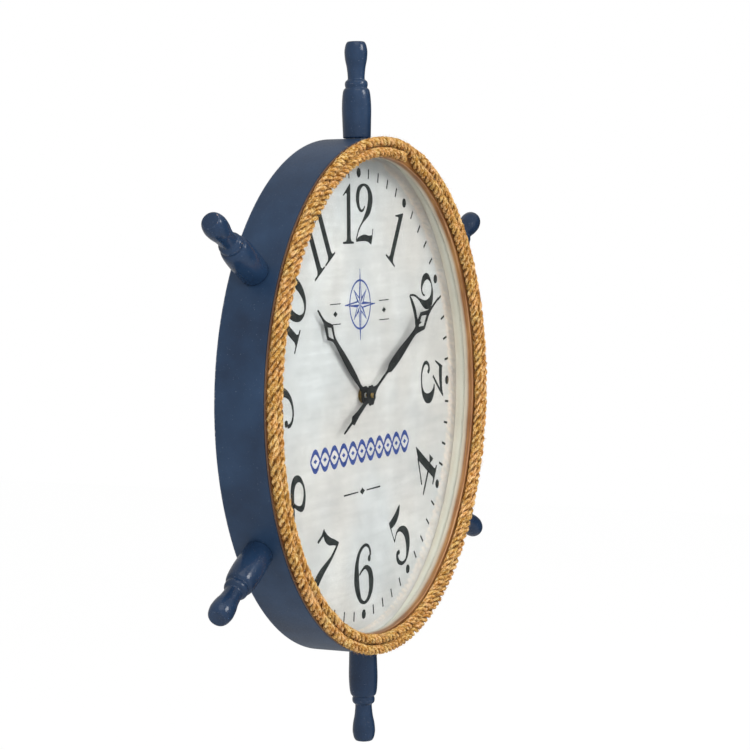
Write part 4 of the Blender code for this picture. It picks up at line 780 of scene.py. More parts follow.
# %% [markdown]
# Loose fibres stand off the rope as a thin fuzz. Each hair is a bent, tapering tube of three sides, so
# thousands of them cost little. Its spine is root + length (start t + curl (bend - start) t^2), so it
# leaves the rope along one direction and turns to another. The hairs too are drawn coarser than real ones,
# three times as thick.

# %% Loose fibres
HAIRS = 8500
HAIR_RINGS, HAIR_SIDES = 4, 3
HAIR_RADIUS, HAIR_TAPER_SHARE = 0.09 * MM, 0.75
HAIR_SHORTEST, HAIR_LONGEST = 2, 7
HAIR_SPREAD, HAIR_CURL = 0.9, 0.45
HAIR_START_RISES, HAIR_BEND_RISES = (0.1, 0.6), (-0.6, 1.5)
HAIR_ROOT_DEPTH = 0.7 * MM
BARE_ENDS = 8
FIBRE_RANGE = 40

at = random.integers(BARE_ENDS, len(line) - BARE_ENDS, HAIRS)
round_rope = random.uniform(0, 2 * math.pi, HAIRS)[:, None]
away = rope_outward[at] * np.cos(round_rope) + rope_across[at] * np.sin(round_rope)
sideways = np.cross(rope_forward[at], away)
lean = random.choice([-1, 1], (HAIRS, 1)) * rope_forward[at]
lean = lean + HAIR_SPREAD * random.normal(size=(HAIRS, 1)) * sideways
start, bend = (unit(lean + random.uniform(*rises, (HAIRS, 1)) * away)
               for rises in (HAIR_START_RISES, HAIR_BEND_RISES))
length = random.uniform(HAIR_SHORTEST, HAIR_LONGEST, (HAIRS, 1)) * MM
root = line[at] + away * rope_share[at, None] * (ROPE_WIDTH / 2 - HAIR_ROOT_DEPTH)
t = np.linspace(0, 1, HAIR_RINGS)[None, :, None]
spine = root[:, None] + length[:, None] * (start[:, None] * t + HAIR_CURL * (bend - start)[:, None] * t ** 2)
turn = (np.arange(HAIR_SIDES) * 2 * math.pi / HAIR_SIDES)[None, None, :, None]
# Any direction across the hair will do, so a shifted one keeps the product from being nought.
flat = unit(np.cross(start, away + 0.3))
thin = HAIR_RADIUS * (1 - HAIR_TAPER_SHARE * t)[..., None]
hair = spine[:, :, None] + thin * (np.cos(turn) * flat[:, None, None]
                                   + np.sin(turn) * np.cross(start, flat)[:, None, None])
per_hair = HAIR_RINGS * HAIR_SIDES
first = (np.arange(HAIRS) * per_hair)[:, None]
faces = (first[:, :, None] + grid_faces(HAIR_RINGS, HAIR_SIDES, False, True)[None]).reshape(-1, 4).tolist()
faces += (first + np.arange(HAIR_SIDES)[::-1]).tolist()
faces += (first + per_hair - HAIR_SIDES + np.arange(HAIR_SIDES)).tolist()
add_piece("rope_loose_fibres", hair.reshape(-1, 3), faces, jute_finish, "jute",
          fibre=random.uniform(0, FIBRE_RANGE, (HAIRS, 1, 3)).repeat(per_hair, axis=1).reshape(-1, 3),
          deep=np.zeros(HAIRS * per_hair))

# %% [markdown]
# ## Glass, hoop and dial
# The lens is a flat disc of float glass. Real glass bends and mirrors light, and a plain Principled shader
# does both. It would also throw a full shadow on the dial, because a ray from a lamp can't be bent through
# it on purpose. So shadow rays meet a transparent shader, and the lamps light the dial as they do in a
# room.

# %% The glass lens
GLASS_EDGE_ROUND = 0.4 * MM
GLASS_EDGE_BAND = 2 * MM
CENTRE_SHARE = 0.01


def float_glass():
    """Polished float glass. It gives the eye a faint green tint and clear mirror images at low angles."""
    material, add, place = new_finish("clear_float_glass")
    smear = add("TexNoise", [place, blotches(45), 2])
    rough = add("MapRange", [smear, 0.45, 0.8, 0, 0.04])
    glass = add("BsdfPrincipled", {"Base Color": "FEFFFE", "Transmission Weight": 1, "IOR": 1.45,
                                   "Roughness": rough})
    clear = add("BsdfTransparent", ["FCFDFC"])
    add("OutputMaterial", [add("MixShader", [add("LightPath", out="Is Shadow Ray"), glass, clear])])
    return material


_, reach, low, high = ring_of("glass_lens")
whole = rounded([(0, low), (reach, low), (reach, high), (0, high)], GLASS_EDGE_ROUND)
edge = whole.reshape(4, -1, 2)[1:3].reshape(-1, 2)
flat_to, centre = reach - GLASS_EDGE_BAND, CENTRE_SHARE * reach
points, faces = turned(np.vstack([[centre, low], [flat_to, low], edge, [flat_to, high], [centre, high]]),
                       CASE_SEGMENTS)
add_piece("glass_disc", points, faces, float_glass(), "glass", stands_for=["glass_lens"])

# %% [markdown]
# Most small parts need the same kind of finish: two near tones in patches, with a finer grit that changes
# the gloss and gives a little relief. One recipe makes it, and each use of it says what the real finish is.

# %% The recipe for plain finishes, and the hoop
def plain_finish(name, dark, light, patch, grit, relief, rough, metallic=0.0, stretch=(1, 1, 1)):
    """Tones from dark to light in patches of patch mm, and a grit of grit mm that moves the roughness about
    its middle and stands relief mm high. stretch squeezes the pattern along x, y or z, as brushing does."""
    material, add, place = new_finish(name)
    place = add("Mapping", {"Vector": place, "Scale": stretch})
    tone = add("TexNoise", [place, blotches(patch), 4])
    fine = add("TexNoise", [place, blotches(grit), 3])
    both = add("Math", [fine, 0.3, tone], operation="MULTIPLY_ADD")
    colour = add("ValToRGB", [both], [(0.45, dark), (0.85, light)])
    gloss = add("MapRange", [fine, 0.3, 0.7, rough - 0.07, rough + 0.07])
    close_finish(add, {"Base Color": colour, "Metallic": metallic, "Roughness": gloss}, (fine, 0.5, relief))
    return material


HOOP_EDGE_ROUND = 0.3 * MM
# Painted pressed card: matt, a little warm and green beside the dial.
card = plain_finish("painted_card", "D5D5C8", "E2E2D7", 30, 0.8, 0.05, 0.75)
add_ring("card_hoop", "dial_hoop", HOOP_EDGE_ROUND, card, "white_card")

# %% [markdown]
# The dial is hardboard with a painted face. The paint is off-white, laid thin over the board and rubbed to
# look old, so it has faint grey clouds, level streaks like planks, and a few specks. Behind, the board is
# bare and brown. The two sides are told apart by depth.

# %% The finish of the dial board
PAINT_DEPTH = 0.2 * MM


def dial_paint(front):
    """Thin matt emulsion on hardboard. It gives the eye a cool, chalky white with grey clouds; its back is
    brown pressed fibre. front is the depth of the painted face."""
    material, add, place = new_finish("matt_dial_paint_on_hardboard")
    level = add("Mapping", {"Vector": place, "Scale": (1, 1, 14)})
    clouds = add("TexNoise", [place, blotches(50), 5, 0.6])
    planks = add("TexNoise", [level, blotches(90), 5, 0.6])
    both = add("Math", [planks, 0.55, clouds], operation="MULTIPLY_ADD")
    paint = add("ValToRGB", [both], [(0.50, "CCCECE"), (0.68, "D6D7D6"), (0.84, "DFE0DF"), (0.98, "E9EAE9")])
    wide = add("TexNoise", [place, blotches(150), 2])
    tint = add("ValToRGB", [wide], [(0.40, "F8FAFC"), (0.60, "FDF9F6")])
    paint = add("Mix", [1, paint, tint], data_type="RGBA", blend_type="MULTIPLY")
    speck = add("MapRange", [add("TexNoise", [place, blotches(2.2), 2]), 0.72, 0.78, 0, 0.35])
    face = add("Mix", [speck, paint, "8F9694"], data_type="RGBA")
    fibre = add("TexNoise", [place, blotches(1.5), 4])
    board = add("ValToRGB", [fibre], [(0.35, "6F4E33"), (0.65, "8A6647")])
    depth = add("SeparateXYZ", [place], out="Y")
    painted = add("Math", [depth, PAINT_DEPTH - front], operation="LESS_THAN")
    colour = add("Mix", [painted, board, face], data_type="RGBA")
    close_finish(add, {"Base Color": colour, "Roughness": 0.72}, (fibre, 0.3, 0.05))
    return material


dial_face = ring_of("dial_board")[3]
dial_finish = dial_paint(dial_face)
print("dial face at depth", round(dial_face / MM, 2), "mm")

# %% [markdown]
# ## The print
# The numerals are hand-drawn ones with thick and thin strokes, as from a broad pen. A font can't be used
# for them and an image would blur, so each numeral is drawn here. It has shapes and strokes. A shape is an
# outline filled in. A stroke is a smooth curve through a few points, each with the pen's width there, and
# its two edges lie half that width to its left and right. All of it is a very thin raised solid, like
# screen ink.
#
# A numeral is drawn upright in millimetres: x to the right from its middle, and a height above its foot
# line.

# %% Shapes and strokes
INK_THICKNESS, INK_LAYER, INK_LAYERS, INK_SUNK = 0.05 * MM, 0.012 * MM, 5, 0.03 * MM


def plate(flat, faces, back, front):
    """A flat sheet of (x, z) points made solid: the sheet at its front depth, the same turned over at its
    back depth, and a wall under each edge that belongs to one face alone."""
    edges = np.array([pair for face in faces for pair in zip(face, [*face[1:], face[0]])])
    _, inverse, count = np.unique(np.sort(edges, axis=1), axis=0, return_inverse=True, return_counts=True)
    rim = edges[count[inverse.ravel()] == 1]
    size = len(flat)
    walls = np.stack([rim[:, 1], rim[:, 0], rim[:, 0] + size, rim[:, 1] + size], axis=-1)
    points = np.vstack([np.stack([flat[:, 0], np.full(size, -depth), flat[:, 1]], axis=-1)
                        for depth in (front, back)])
    turned_over = [[corner + size for corner in face[::-1]] for face in faces]
    return points, [list(face) for face in faces] + turned_over + walls.tolist()


def pen_stroke(rows, closed=False):
    """A stroke as a strip of quads between its two edges, through rows of (x, height, width)."""
    path = through(rows, closed=closed)
    middle, width = path[:, :2], path[:, 2:]
    if closed:
        along = unit(np.roll(middle, -1, axis=0) - np.roll(middle, 1, axis=0))
    else:
        along = unit(np.gradient(middle, axis=0))
    left = np.stack([-along[:, 1], along[:, 0]], axis=-1)
    flat = np.stack([middle + left * width / 2, middle - left * width / 2], axis=1).reshape(-1, 2)
    return flat, grid_faces(len(path), 2, closed, False).tolist()


def filled(outline):
    """An outline as one flat face."""
    return np.asarray(outline, float), [list(range(len(outline)))]


def dot(x, height, radius, count=28):
    """A filled circle."""
    a = np.linspace(0, 2 * math.pi, count, endpoint=False)
    return filled(np.stack([x + radius * np.sin(a), height + radius * np.cos(a)], axis=-1))


print("a stroke of three points has", len(pen_stroke([(0, 0, 1), (1, 2, 2), (3, 3, 1)])[1]), "quads")

# %% [markdown]
# The ten digits follow. The heights run from 0 to about 61 mm, and a round digit's thick sides are more
# than three times as wide as its thin top and foot. The nine is the six turned half way round.

# %% The digits, drawn in millimetres
DIGIT_HEIGHT = 61.5
SIX = [pen_stroke([(17.4, 48.0, 4.0), (16.8, 53.6, 4.2), (12.5, 58.6, 3.6), (4.8, 60.4, 3.4),
                   (-4.3, 57.5, 4.5), (-11, 51.5, 6.2), (-15, 42.8, 8.6), (-16, 33.1, 11),
                   (-15.8, 23.5, 11.8), (-12.8, 13.7, 9.5), (-7, 5.2, 5.6), (2.4, 1.6, 3.4),
                   (11.8, 5.0, 6), (17.6, 12.9, 9.4), (18.8, 21.2, 11.4), (17.2, 29.5, 10),
                   (12.1, 34.9, 7), (4.8, 37.7, 4), (-3.7, 34.9, 3), (-9.5, 31.4, 2.4)]),
       dot(14.8, 45.6, 3.5)]
DIGITS = {
    "0": [pen_stroke([(0, 60.0, 3.2), (-10, 53, 6), (-14.6, 42, 9), (-15.4, 31, 10), (-14.6, 19, 9),
                      (-9.5, 7, 6), (0, 1.8, 3.2), (9.5, 7, 6), (14.6, 19, 9), (15.4, 31, 10),
                      (14.6, 42, 9), (10, 53, 6)],
                     closed=True)],
    "1": [filled([(-13.7, 49.4), (-12.9, 48.4), (-6.5, 51.4), (-4.9, 50.6), (-5.4, 6.5), (-7.5, 3.4),
                  (-14.8, 2.9), (-14.8, 0.8), (10.8, 0.8), (10.8, 2.9), (5.4, 3.4), (3.4, 6.5),
                  (3.8, 60.7), (2.4, 61.0)])],
    "2": [pen_stroke([(1.2, 38.6, 1.6), (-2.5, 34.8, 2.6), (-8, 33.8, 3.0), (-13.3, 38, 5.5),
                      (-16, 46.5, 8), (-12.2, 55.6, 6.5), (-1, 60.0, 2.6), (9.5, 56.4, 6),
                      (14.6, 47.5, 11), (12.4, 38, 10.5), (7, 31.2, 8), (-4, 23, 3), (-13, 15.6, 2.4),
                      (-18.6, 7.5, 2.3), (-20, 4.2, 2.2)]),
          filled([(-20.6, 4.6), (-14, 7.6), (-5, 9.6), (2, 10), (9, 8.6), (16, 8.8), (17.8, 9.4),
                  (19.2, 15.2), (21.2, 15.4), (18.6, 6), (16.2, -0.4), (13.8, -0.2), (9, 1.9), (2, 3.1),
                  (-8, 3.1), (-20.6, 2.6)])],
    "3": [filled([(-16.6, 60.2), (-14.5, 58.2), (0, 57.8), (9, 58.6), (15.5, 61.3), (17.5, 60.2),
                  (8.5, 52.6), (0, 50.4), (-10, 49.7), (-16.4, 50.2), (-22.3, 39.4), (-24.1, 40.0)]),
          pen_stroke([(16.6, 60.4, 2.2), (5, 46.7, 3.4), (-7.2, 32.8, 3.0)]),
          pen_stroke([(2.0, 36.6, 2.6), (8.5, 34.2, 5.5), (14.6, 27.8, 10), (16.6, 20.5, 11.3),
                      (14.6, 11.8, 9.6), (8.6, 4.9, 5.6), (-1, 1.8, 3.2), (-12, 2.4, 3.6),
                      (-20.3, 7.8, 4.4), (-22.8, 14.2, 4.2), (-20.6, 20.2, 4.2), (-16, 22.4, 4.8),
                      (-12.6, 21.2, 4.6)]), dot(-12.6, 20.4, 2.5)],
    "4": [filled([(10.6, 62.3), (11.9, 62), (11.9, 5.5), (13.2, 3.1), (17.4, 2.6), (17.4, -0.2),
                  (-5.8, -0.2), (-5.8, 2.6), (0, 3.1), (1.3, 5.5), (1.3, 50.1)]),
          pen_stroke([(3, 52, 3), (-8, 39.8, 2.6), (-18.2, 28.6, 2.8)]),
          pen_stroke([(-26.6, 19.8, 2.0), (-18, 19.8, 3.6), (1, 19.8, 3.6), (15, 19.6, 2.6)]),
          filled([(12, 21.0), (19.9, 25.2), (19.9, 13.2), (12, 18.4)])],
    "5": [filled([(-13.9, 61.6), (-8, 60.8), (4, 60.8), (14, 62.2), (18.4, 62.2), (18.9, 60.8),
                  (12.5, 54.0), (5, 51.2), (-1.5, 50.7), (-8, 51.6), (-13.9, 53.6)]),
          pen_stroke([(-12.9, 55, 2.0), (-12.6, 44, 1.5), (-11.8, 35, 2.2)]),
          pen_stroke([(-11, 36.4, 1.4), (-6, 39.6, 2.2), (0, 40.8, 3.2), (7.2, 38, 6), (14.2, 30.7, 9.5),
                      (16.8, 21.6, 11.2), (14, 12.6, 10), (8, 5.2, 6), (1, 1.8, 3.5), (-7.3, 3.7, 4),
                      (-13.2, 8.9, 5), (-15.8, 14.9, 5.5), (-14, 20.0, 5.2), (-10.6, 21.2, 4.6)]),
          dot(-9.4, 19.8, 2.7)],
    "6": SIX,
    "7": [filled([(-14.6, 61.6), (-12.5, 60.0), (-5, 59.0), (3, 59.6), (11.5, 61.4), (21.5, 62.9),
                  (22.8, 61.6), (19.4, 57.6), (11.5, 54.9), (4, 51.4), (-2, 50.5), (-8, 51.2),
                  (-13.2, 54.2), (-19.8, 43.6), (-22.6, 43.6), (-22.8, 45.2), (-17.2, 54.0),
                  (-16.0, 60.6)]),
          pen_stroke([(21.0, 60.6, 2.6), (18.4, 53.7, 3.6), (13.9, 42.8, 4.2), (7.8, 33.1, 6.2),
                      (1.6, 23.5, 8.6), (-3.0, 14.9, 10.2), (-6, 7, 11.2), (-7, 0.5, 11.4)])],
    "8": [pen_stroke([(16.8, 47.5, 7), (10, 56.6, 4.6), (0, 59.8, 3.4), (-10.6, 56.1, 6),
                      (-14.8, 47, 8.8), (-10, 38.5, 8), (0, 32.6, 7), (11.5, 26, 8.5), (17.4, 16.5, 11),
                      (12, 5.6, 6.5), (1, 1.7, 3.6), (-11, 4.9, 6), (-16.6, 14.2, 8.6),
                      (-12.5, 23.5, 6.4), (-2, 30.5, 3.4), (11, 38.6, 4.6)], closed=True)],
    "9": [(flat * [-1, -1] + [0, DIGIT_HEIGHT], faces) for flat, faces in SIX],
}
print("digits:", " ".join(sorted(DIGITS)))

# %% [markdown]
# The numerals stand on two circles. From nine to three their feet are towards the middle of the dial, and
# from four to eight their feet are outward, so that none is upside down. A dot marks each hour on the track
# outside them, and a short bar marks each minute between.
#
# The ink is old. It is a soft black with specks where it has lifted from the paint.

# %% Ink
def worn_ink(name, dark, light, bare, limit):
    """Matt screen ink on paint. It gives the eye a soft dark that is a little uneven, with pale
    pinholes."""
    material, add, place = new_finish(name)
    ink = add("ValToRGB", [add("TexNoise", [place, blotches(9), 4])], [(0.35, dark), (0.68, light)])
    hole = add("TexNoise", [place, blotches(1.4), 3, 0.7])
    hole = add("MapRange", [hole, limit, limit + 0.06, 0, 0.8])
    colour = add("Mix", [hole, ink, bare], data_type="RGBA")
    close_finish(add, {"Base Color": colour, "Roughness": 0.75, "Specular IOR Level": 0})
    return material


black_ink = worn_ink("worn_black_screen_ink", "272A2B", "3A3E3D", "8C918F", 0.66)
blue_ink = worn_ink("worn_blue_screen_ink", "35488A", "4D5EA2", "9AA3BD", 0.72)
print("inks:", black_ink.name, "and", blue_ink.name)

# %% Numerals, hour dots and minute bars
UPRIGHT_FOOT, INVERTED_FOOT = 152.6, 214.6
TRACK_RADIUS, DOT_RADIUS = 224.7, 4.9
BAR_LENGTH, BAR_WIDTH = 10.0, 2.5
# Each hour's digits, with their shifts to the right in mm.
NUMERALS = {hour: [(str(hour), 0)] for hour in range(1, 10)}
NUMERALS |= {2: [("2", -1)], 10: [("1", -16), ("0", 14.5)], 11: [("1", -15), ("1", 12.6)],
             12: [("1", -24), ("2", 12.5)]}


def on_dial(flat, angle, foot, upward):
    """Upright (x, height) points in mm placed on the dial: the foot line crosses the direction of a clock
    angle at a radius, and upward is 1 where a height goes outward and -1 where it goes to the middle."""
    out = np.array([math.sin(angle), math.cos(angle)])
    aside = np.array([math.cos(angle), -math.sin(angle)])
    radius = foot + upward * flat[:, 1:]
    return (radius * out + upward * flat[:, :1] * aside) * MM


def print_on_dial(name, flat_shapes, ink, scale=1):
    """Turns flat (x, z) shapes into one thin print. Each lies a hair above the one before it, so that no
    two faces share a plane, and the scale turns their numbers to metres."""
    layers = [plate(flat * scale, faces, dial_face - INK_SUNK,
                    dial_face + INK_THICKNESS + INK_LAYER * (count % INK_LAYERS))
              for count, (flat, faces) in enumerate(flat_shapes)]
    points, faces = joined(layers)
    add_piece(name, points, faces, ink, "printed_dial", sharp=30)


numerals = []
for hour, digits in NUMERALS.items():
    upward = -1 if 4 <= hour <= 8 else 1
    foot = INVERTED_FOOT if upward < 0 else UPRIGHT_FOOT
    for digit, shift in digits:
        numerals += [(on_dial(flat + [shift, 0], math.radians(30 * hour), foot, upward), faces)
                     for flat, faces in DIGITS[digit]]
print_on_dial("dial_numerals", numerals, black_ink)

bar = [(-BAR_WIDTH / 2, -BAR_LENGTH / 2), (BAR_WIDTH / 2, -BAR_LENGTH / 2), (BAR_WIDTH / 2, BAR_LENGTH / 2),
       (-BAR_WIDTH / 2, BAR_LENGTH / 2)]
track = []
for minute in range(60):
    flat, faces = filled(bar) if minute % 5 else dot(0, 0, DOT_RADIUS)
    track.append((on_dial(flat, math.radians(6 * minute), TRACK_RADIUS, 1), faces))
print_on_dial("dial_minute_track", track, black_ink)

# %% [markdown]
# The dial's middle carries plain ornament in blue and grey: a compass star of eight points over the hands,
# each point half filled and half outlined, with short rules and a lozenge at its sides, and a band of two
# crossing waves below. A wave is height = A cos(2 pi x / P), and the band is that wave and its mirror
# image.

# %% Compass star, rules and wave band
STAR_MIDDLE, STAR_LONG, STAR_SHORT, STAR_WAIST, STAR_RING = 92, 36, 21, 7.5, 24.5
STAR_LINE, STAR_LINE_FOOT, STAR_RING_WIDTH, STAR_RING_POINTS = 1.2, 1.6, 2.0, 24
RULE_HEIGHTS, RULE_FROM, RULE_TO, RULE_WIDTH = (74.4, 94.4), 46, 70, 1.0
LOW_RULE_HEIGHT, LOW_RULE_FROM, LOW_RULE_TO, LOW_RULE_THIN, LOW_RULE_THICK = -98, 10, 44, 1.2, 1.8
BAND_MIDDLE, BAND_HALF_LENGTH, BAND_HEIGHT, BAND_LINE = -57, 118, 9.5, 2.6
BAND_WAVES, BAND_LOZENGES, BAND_POINTS = 2.75, 5, 61
BAND_PERIOD = BAND_HALF_LENGTH / BAND_WAVES
LOZENGE = np.array([(-5, 0), (0, 3), (5, 0), (0, -3)], float)
BAND_LOZENGE_SHARE, LOW_LOZENGE_SHARE = 0.8, 1.2


def compass(angle, radius):
    """A point of the star, as (x, z) in mm."""
    return np.stack([radius * np.sin(angle), STAR_MIDDLE + radius * np.cos(angle)], axis=-1)


star = []
for count in range(8):
    angle = math.radians(45 * count)
    tip = compass(angle, STAR_SHORT if count % 2 else STAR_LONG)
    left, right = (compass(angle + turn, STAR_WAIST) for turn in (-math.pi / 8, math.pi / 8))
    star.append(filled([compass(0, 0), left, tip]))
    star.append(pen_stroke([[*tip, STAR_LINE], [*right, STAR_LINE_FOOT]]))
a = np.linspace(0, 2 * math.pi, STAR_RING_POINTS, endpoint=False)
ring = np.column_stack([compass(a, STAR_RING), np.full(len(a), STAR_RING_WIDTH)])
star.append(pen_stroke(ring, closed=True))
print_on_dial("dial_star", star, blue_ink, MM)

x = np.linspace(-BAND_HALF_LENGTH, BAND_HALF_LENGTH, BAND_POINTS)
wave = np.cos(2 * math.pi * x / BAND_PERIOD)
width = BAND_LINE * (1 + wave ** 2)
band = [pen_stroke(np.stack([x, BAND_MIDDLE + side * BAND_HEIGHT * wave, width], axis=-1))
        for side in (1, -1)]
band += [filled(LOZENGE * BAND_LOZENGE_SHARE + [count * BAND_PERIOD / 2, BAND_MIDDLE])
         for count in range(-BAND_LOZENGES, BAND_LOZENGES + 1)]
print_on_dial("dial_wave_band", band, blue_ink, MM)

rules = []
for side in (-1, 1):
    for height in RULE_HEIGHTS:
        rules.append(pen_stroke([(side * end, height, RULE_WIDTH) for end in (RULE_FROM, RULE_TO)]))
    rules.append(filled(LOZENGE + [side * (RULE_FROM + RULE_TO) / 2, sum(RULE_HEIGHTS) / 2]))
    rules.append(pen_stroke([(side * LOW_RULE_FROM, LOW_RULE_HEIGHT, LOW_RULE_THIN),
                             (side * LOW_RULE_TO, LOW_RULE_HEIGHT, LOW_RULE_THICK)]))
rules.append(filled(LOZENGE * LOW_LOZENGE_SHARE + [0, LOW_RULE_HEIGHT]))
print_on_dial("dial_rules", rules, black_ink, MM)

# %% [markdown]
# ## The hands
# Both hands are stamped from thin steel and lacquered black, in a pierced pattern: a leaf that narrows to a
# waist, a diamond with a window in it, and a needle. A stamping is a flat outline, so each hand is a sheet
# of quads along its own line. Its half width at each station follows a few runs that meet at crisp corners,
# as shares of the hand's length and half width. The quads inside the window are left out, and plate() then
# gives the sheet its thickness and its walls, in the window too.

# %% The sheets of the hands
HOUR_RUNS_SHARES = (
    ((0.04, 0.45), (0.10, 0.25), (0.15, 0.30), (0.22, 0.41), (0.32, 0.46), (0.43, 0.44), (0.52, 0.38),
     (0.60, 0.30), (0.655, 0.31)),
    ((0.69, 0.50), (0.748, 1)),
    ((0.85, 0.30),),
    ((0.89, 0.16), (0.94, 0.13), (0.99, 0.11), (1, 0.05)),
)
MINUTE_RUNS_SHARES = (
    ((0.04, 0.51), (0.075, 0.25), (0.11, 0.16), (0.235, 0.16)),
    ((0.27, 0.50),),
    ((0.33, 0.55), (0.40, 0.56), (0.47, 0.49), (0.54, 0.38), (0.59, 0.33), (0.64, 0.33)),
    ((0.75, 1),),
    ((0.835, 0.31),),
    ((0.88, 0.16), (0.93, 0.12), (0.985, 0.10), (1, 0.05)),
)
TAIL_RUNS_SHARES = (
    ((0.12, 0.37), (0.20, 0.24), (0.32, 0.27), (0.45, 0.30), (0.56, 0.38), (0.67, 0.49)),
    ((0.715, 0.15),),
    ((0.85, 0.13), (0.97, 0.10), (1, 0.05)),
)
HOUR_WINDOW_SHARES = ((0.668, 0.02), (0.748, 0.58), (0.806, 0.02))
MINUTE_WINDOW_SHARES = ((0.69, 0.02), (0.75, 0.58), (0.812, 0.02))
HUB_SEGMENTS = 96
INNER_SHARE, WINDOW_FOOT_SHARE, WINDOW_TIP_SHARE = 0.5, 0.03, 0.04


def blade(runs, window, length, half):
    """A blade along +height as a sheet of three quads across. Its outer lines are at its half width, and
    its inner lines follow the window's sides and drift to half of that width beyond it."""
    rows = drawn(runs)
    if window:
        foot, tip = window[0][0], window[-1][0]
        ends = np.array([[share, np.interp(share, rows[:, 0], rows[:, 1])] for share, _ in window])
        rows = np.vstack([rows, ends])
        rows = rows[np.unique(rows[:, 0].round(5), return_index=True)[1]]
        side = np.interp(rows[:, 0], *np.array(window).T, left=-1, right=-1)
        shares = [INNER_SHARE, WINDOW_FOOT_SHARE, WINDOW_TIP_SHARE, INNER_SHARE]
        beyond = rows[:, 1] * np.interp(rows[:, 0], [0, foot, tip, 1], shares)
        side = np.where(side < 0, beyond, side)
    else:
        side = INNER_SHARE * rows[:, 1]
    width, inner = rows[:, 1] * half, side * half
    columns = [-width, -inner, inner, width]
    flat = np.stack([np.stack([column, rows[:, 0] * length], axis=-1) for column in columns], axis=1)
    faces = grid_faces(len(rows), 4)
    if window:
        place = rows[faces[:, 0] // 4, 0] + 1e-6
        faces = faces[(faces[:, 0] % 4 != 1) | (place < foot) | (place >= tip)]
    return flat.reshape(-1, 2), faces.tolist()


def hub(outer, hole, scallops, depth_of_scallop):
    """A disc with a hole, of radius outer (1 - depth + depth cos(n a)) for n scallops, as one ring of
    quads."""
    a = np.linspace(0, 2 * math.pi, HUB_SEGMENTS, endpoint=False)
    edge = outer * (1 - depth_of_scallop + depth_of_scallop * np.cos(scallops * a))
    rings = [np.full(HUB_SEGMENTS, hole), (hole + edge) / 2, edge]
    flat = np.stack([np.stack([ring * np.sin(a), ring * np.cos(a)], axis=-1) for ring in rings], axis=1)
    return flat.reshape(-1, 2), grid_faces(HUB_SEGMENTS, 3, True, False).tolist()


print("the hour hand has", len(drawn(HOUR_RUNS_SHARES)), "stations and the minute hand",
      len(drawn(MINUTE_RUNS_SHARES)))

# %% [markdown]
# A press leaves the edges of a hand a little rolled over, and a bevel gives them that softness. A hand lies
# at the angle that its solid has, and it rides on the body that turns it. Its hub is a hair thicker than its
# blade, so that no two faces share a plane.

# %% The finish of black lacquer, and the two hands
def black_lacquer():
    """Black stoving lacquer on stamped steel. It gives the eye a near-black satin with greyer patches."""
    material, add, place = new_finish("black_lacquer_on_stamped_steel")
    tone = add("TexNoise", [place, blotches(12), 4])
    fine = add("TexNoise", [place, blotches(0.9), 3])
    both = add("Math", [fine, 0.6, tone], operation="MULTIPLY_ADD")
    colour = add("ValToRGB", [both], [(0.50, "1A1C1D"), (0.80, "242627"), (0.98, "303233")])
    rough = add("MapRange", [fine, 0, 1, 0.38, 0.56])
    close_finish(add, {"Base Color": colour, "Specular IOR Level": 0.05, "Roughness": rough},
                 (fine, 0.4, 0.04))
    return material


EDGE_ROLL, EDGE_ROLL_STEPS, EDGE_ROLL_LIMIT = 0.12 * MM, 2, math.radians(50)
TIP_BAND = 0.01 * MM
HUB_EXTRA = 0.06 * MM
HOUR_HUB_SCALLOPS, MINUTE_HUB_SCALLOPS = (12, 0.02), (8, 0.05)
HUB_REACH_SHARE = 1 / 12


def hand_axes(node):
    """The directions (x, z) along a hand and across it. Its tip is the middle of its farthest corners."""
    solid = corners(node)[:, [0, 2]]
    radius = np.hypot(*solid.T)
    out = unit(solid[radius > radius.max() - TIP_BAND].mean(axis=0))
    return out, np.array([out[1], -out[0]])


def hand_sizes(node):
    """A hand's length from the clock's axis, its reach to the other side, its half width at the diamond,
    and the radii of its hub and bore."""
    solid = corners(node)[:, [0, 2]]
    out, across = hand_axes(node)
    along, aside = solid @ out, np.abs(solid @ across)
    length = along.max()
    hub_radius = aside[np.abs(along) < length * HUB_REACH_SHARE].max()
    return length, -along.min(), aside[along > length / 2].max(), hub_radius, np.hypot(*solid.T).min()


def add_hand(node, body, parts, finish):
    """A hand from its upright sheets in metres, each with its extra thickness, at its solid's angle."""
    out, aside = hand_axes(node)
    low, high = ring_of(node)[2:]
    plates = [plate(flat[:, 1:] * out + flat[:, :1] * aside, faces, low - extra, high + extra)
              for (flat, faces), extra in parts]
    points, faces = joined(plates)
    piece = add_piece(f"stamped_{node}", points, faces, finish, "hand_lacquer", body=body, stands_for=[node],
                      sharp=30)
    edge = piece.modifiers.new("rolled edge", "BEVEL")
    edge.width, edge.segments = EDGE_ROLL, EDGE_ROLL_STEPS
    edge.limit_method, edge.angle_limit = "ANGLE", EDGE_ROLL_LIMIT
    edge.harden_normals = True
    print(node, "at clock angle", round(math.degrees(math.atan2(*out)), 1), "degrees")


lacquer = black_lacquer()
length, _, half, hub_radius, bore = hand_sizes("hour_hand")
add_hand("hour_hand", "hour_body", [
    (blade(HOUR_RUNS_SHARES, HOUR_WINDOW_SHARES, length, half), 0),
    (hub(hub_radius, bore, *HOUR_HUB_SCALLOPS), HUB_EXTRA),
], lacquer)
length, tail, half, hub_radius, bore = hand_sizes("minute_hand")
tail_flat, tail_faces = blade(TAIL_RUNS_SHARES, None, -tail, half)
add_hand("minute_hand", "minute_body", [
    (blade(MINUTE_RUNS_SHARES, MINUTE_WINDOW_SHARES, length, half), 0),
    ((tail_flat, [face[::-1] for face in tail_faces]), 0),
    (hub(hub_radius, bore, *MINUTE_HUB_SCALLOPS), HUB_EXTRA),
], lacquer)

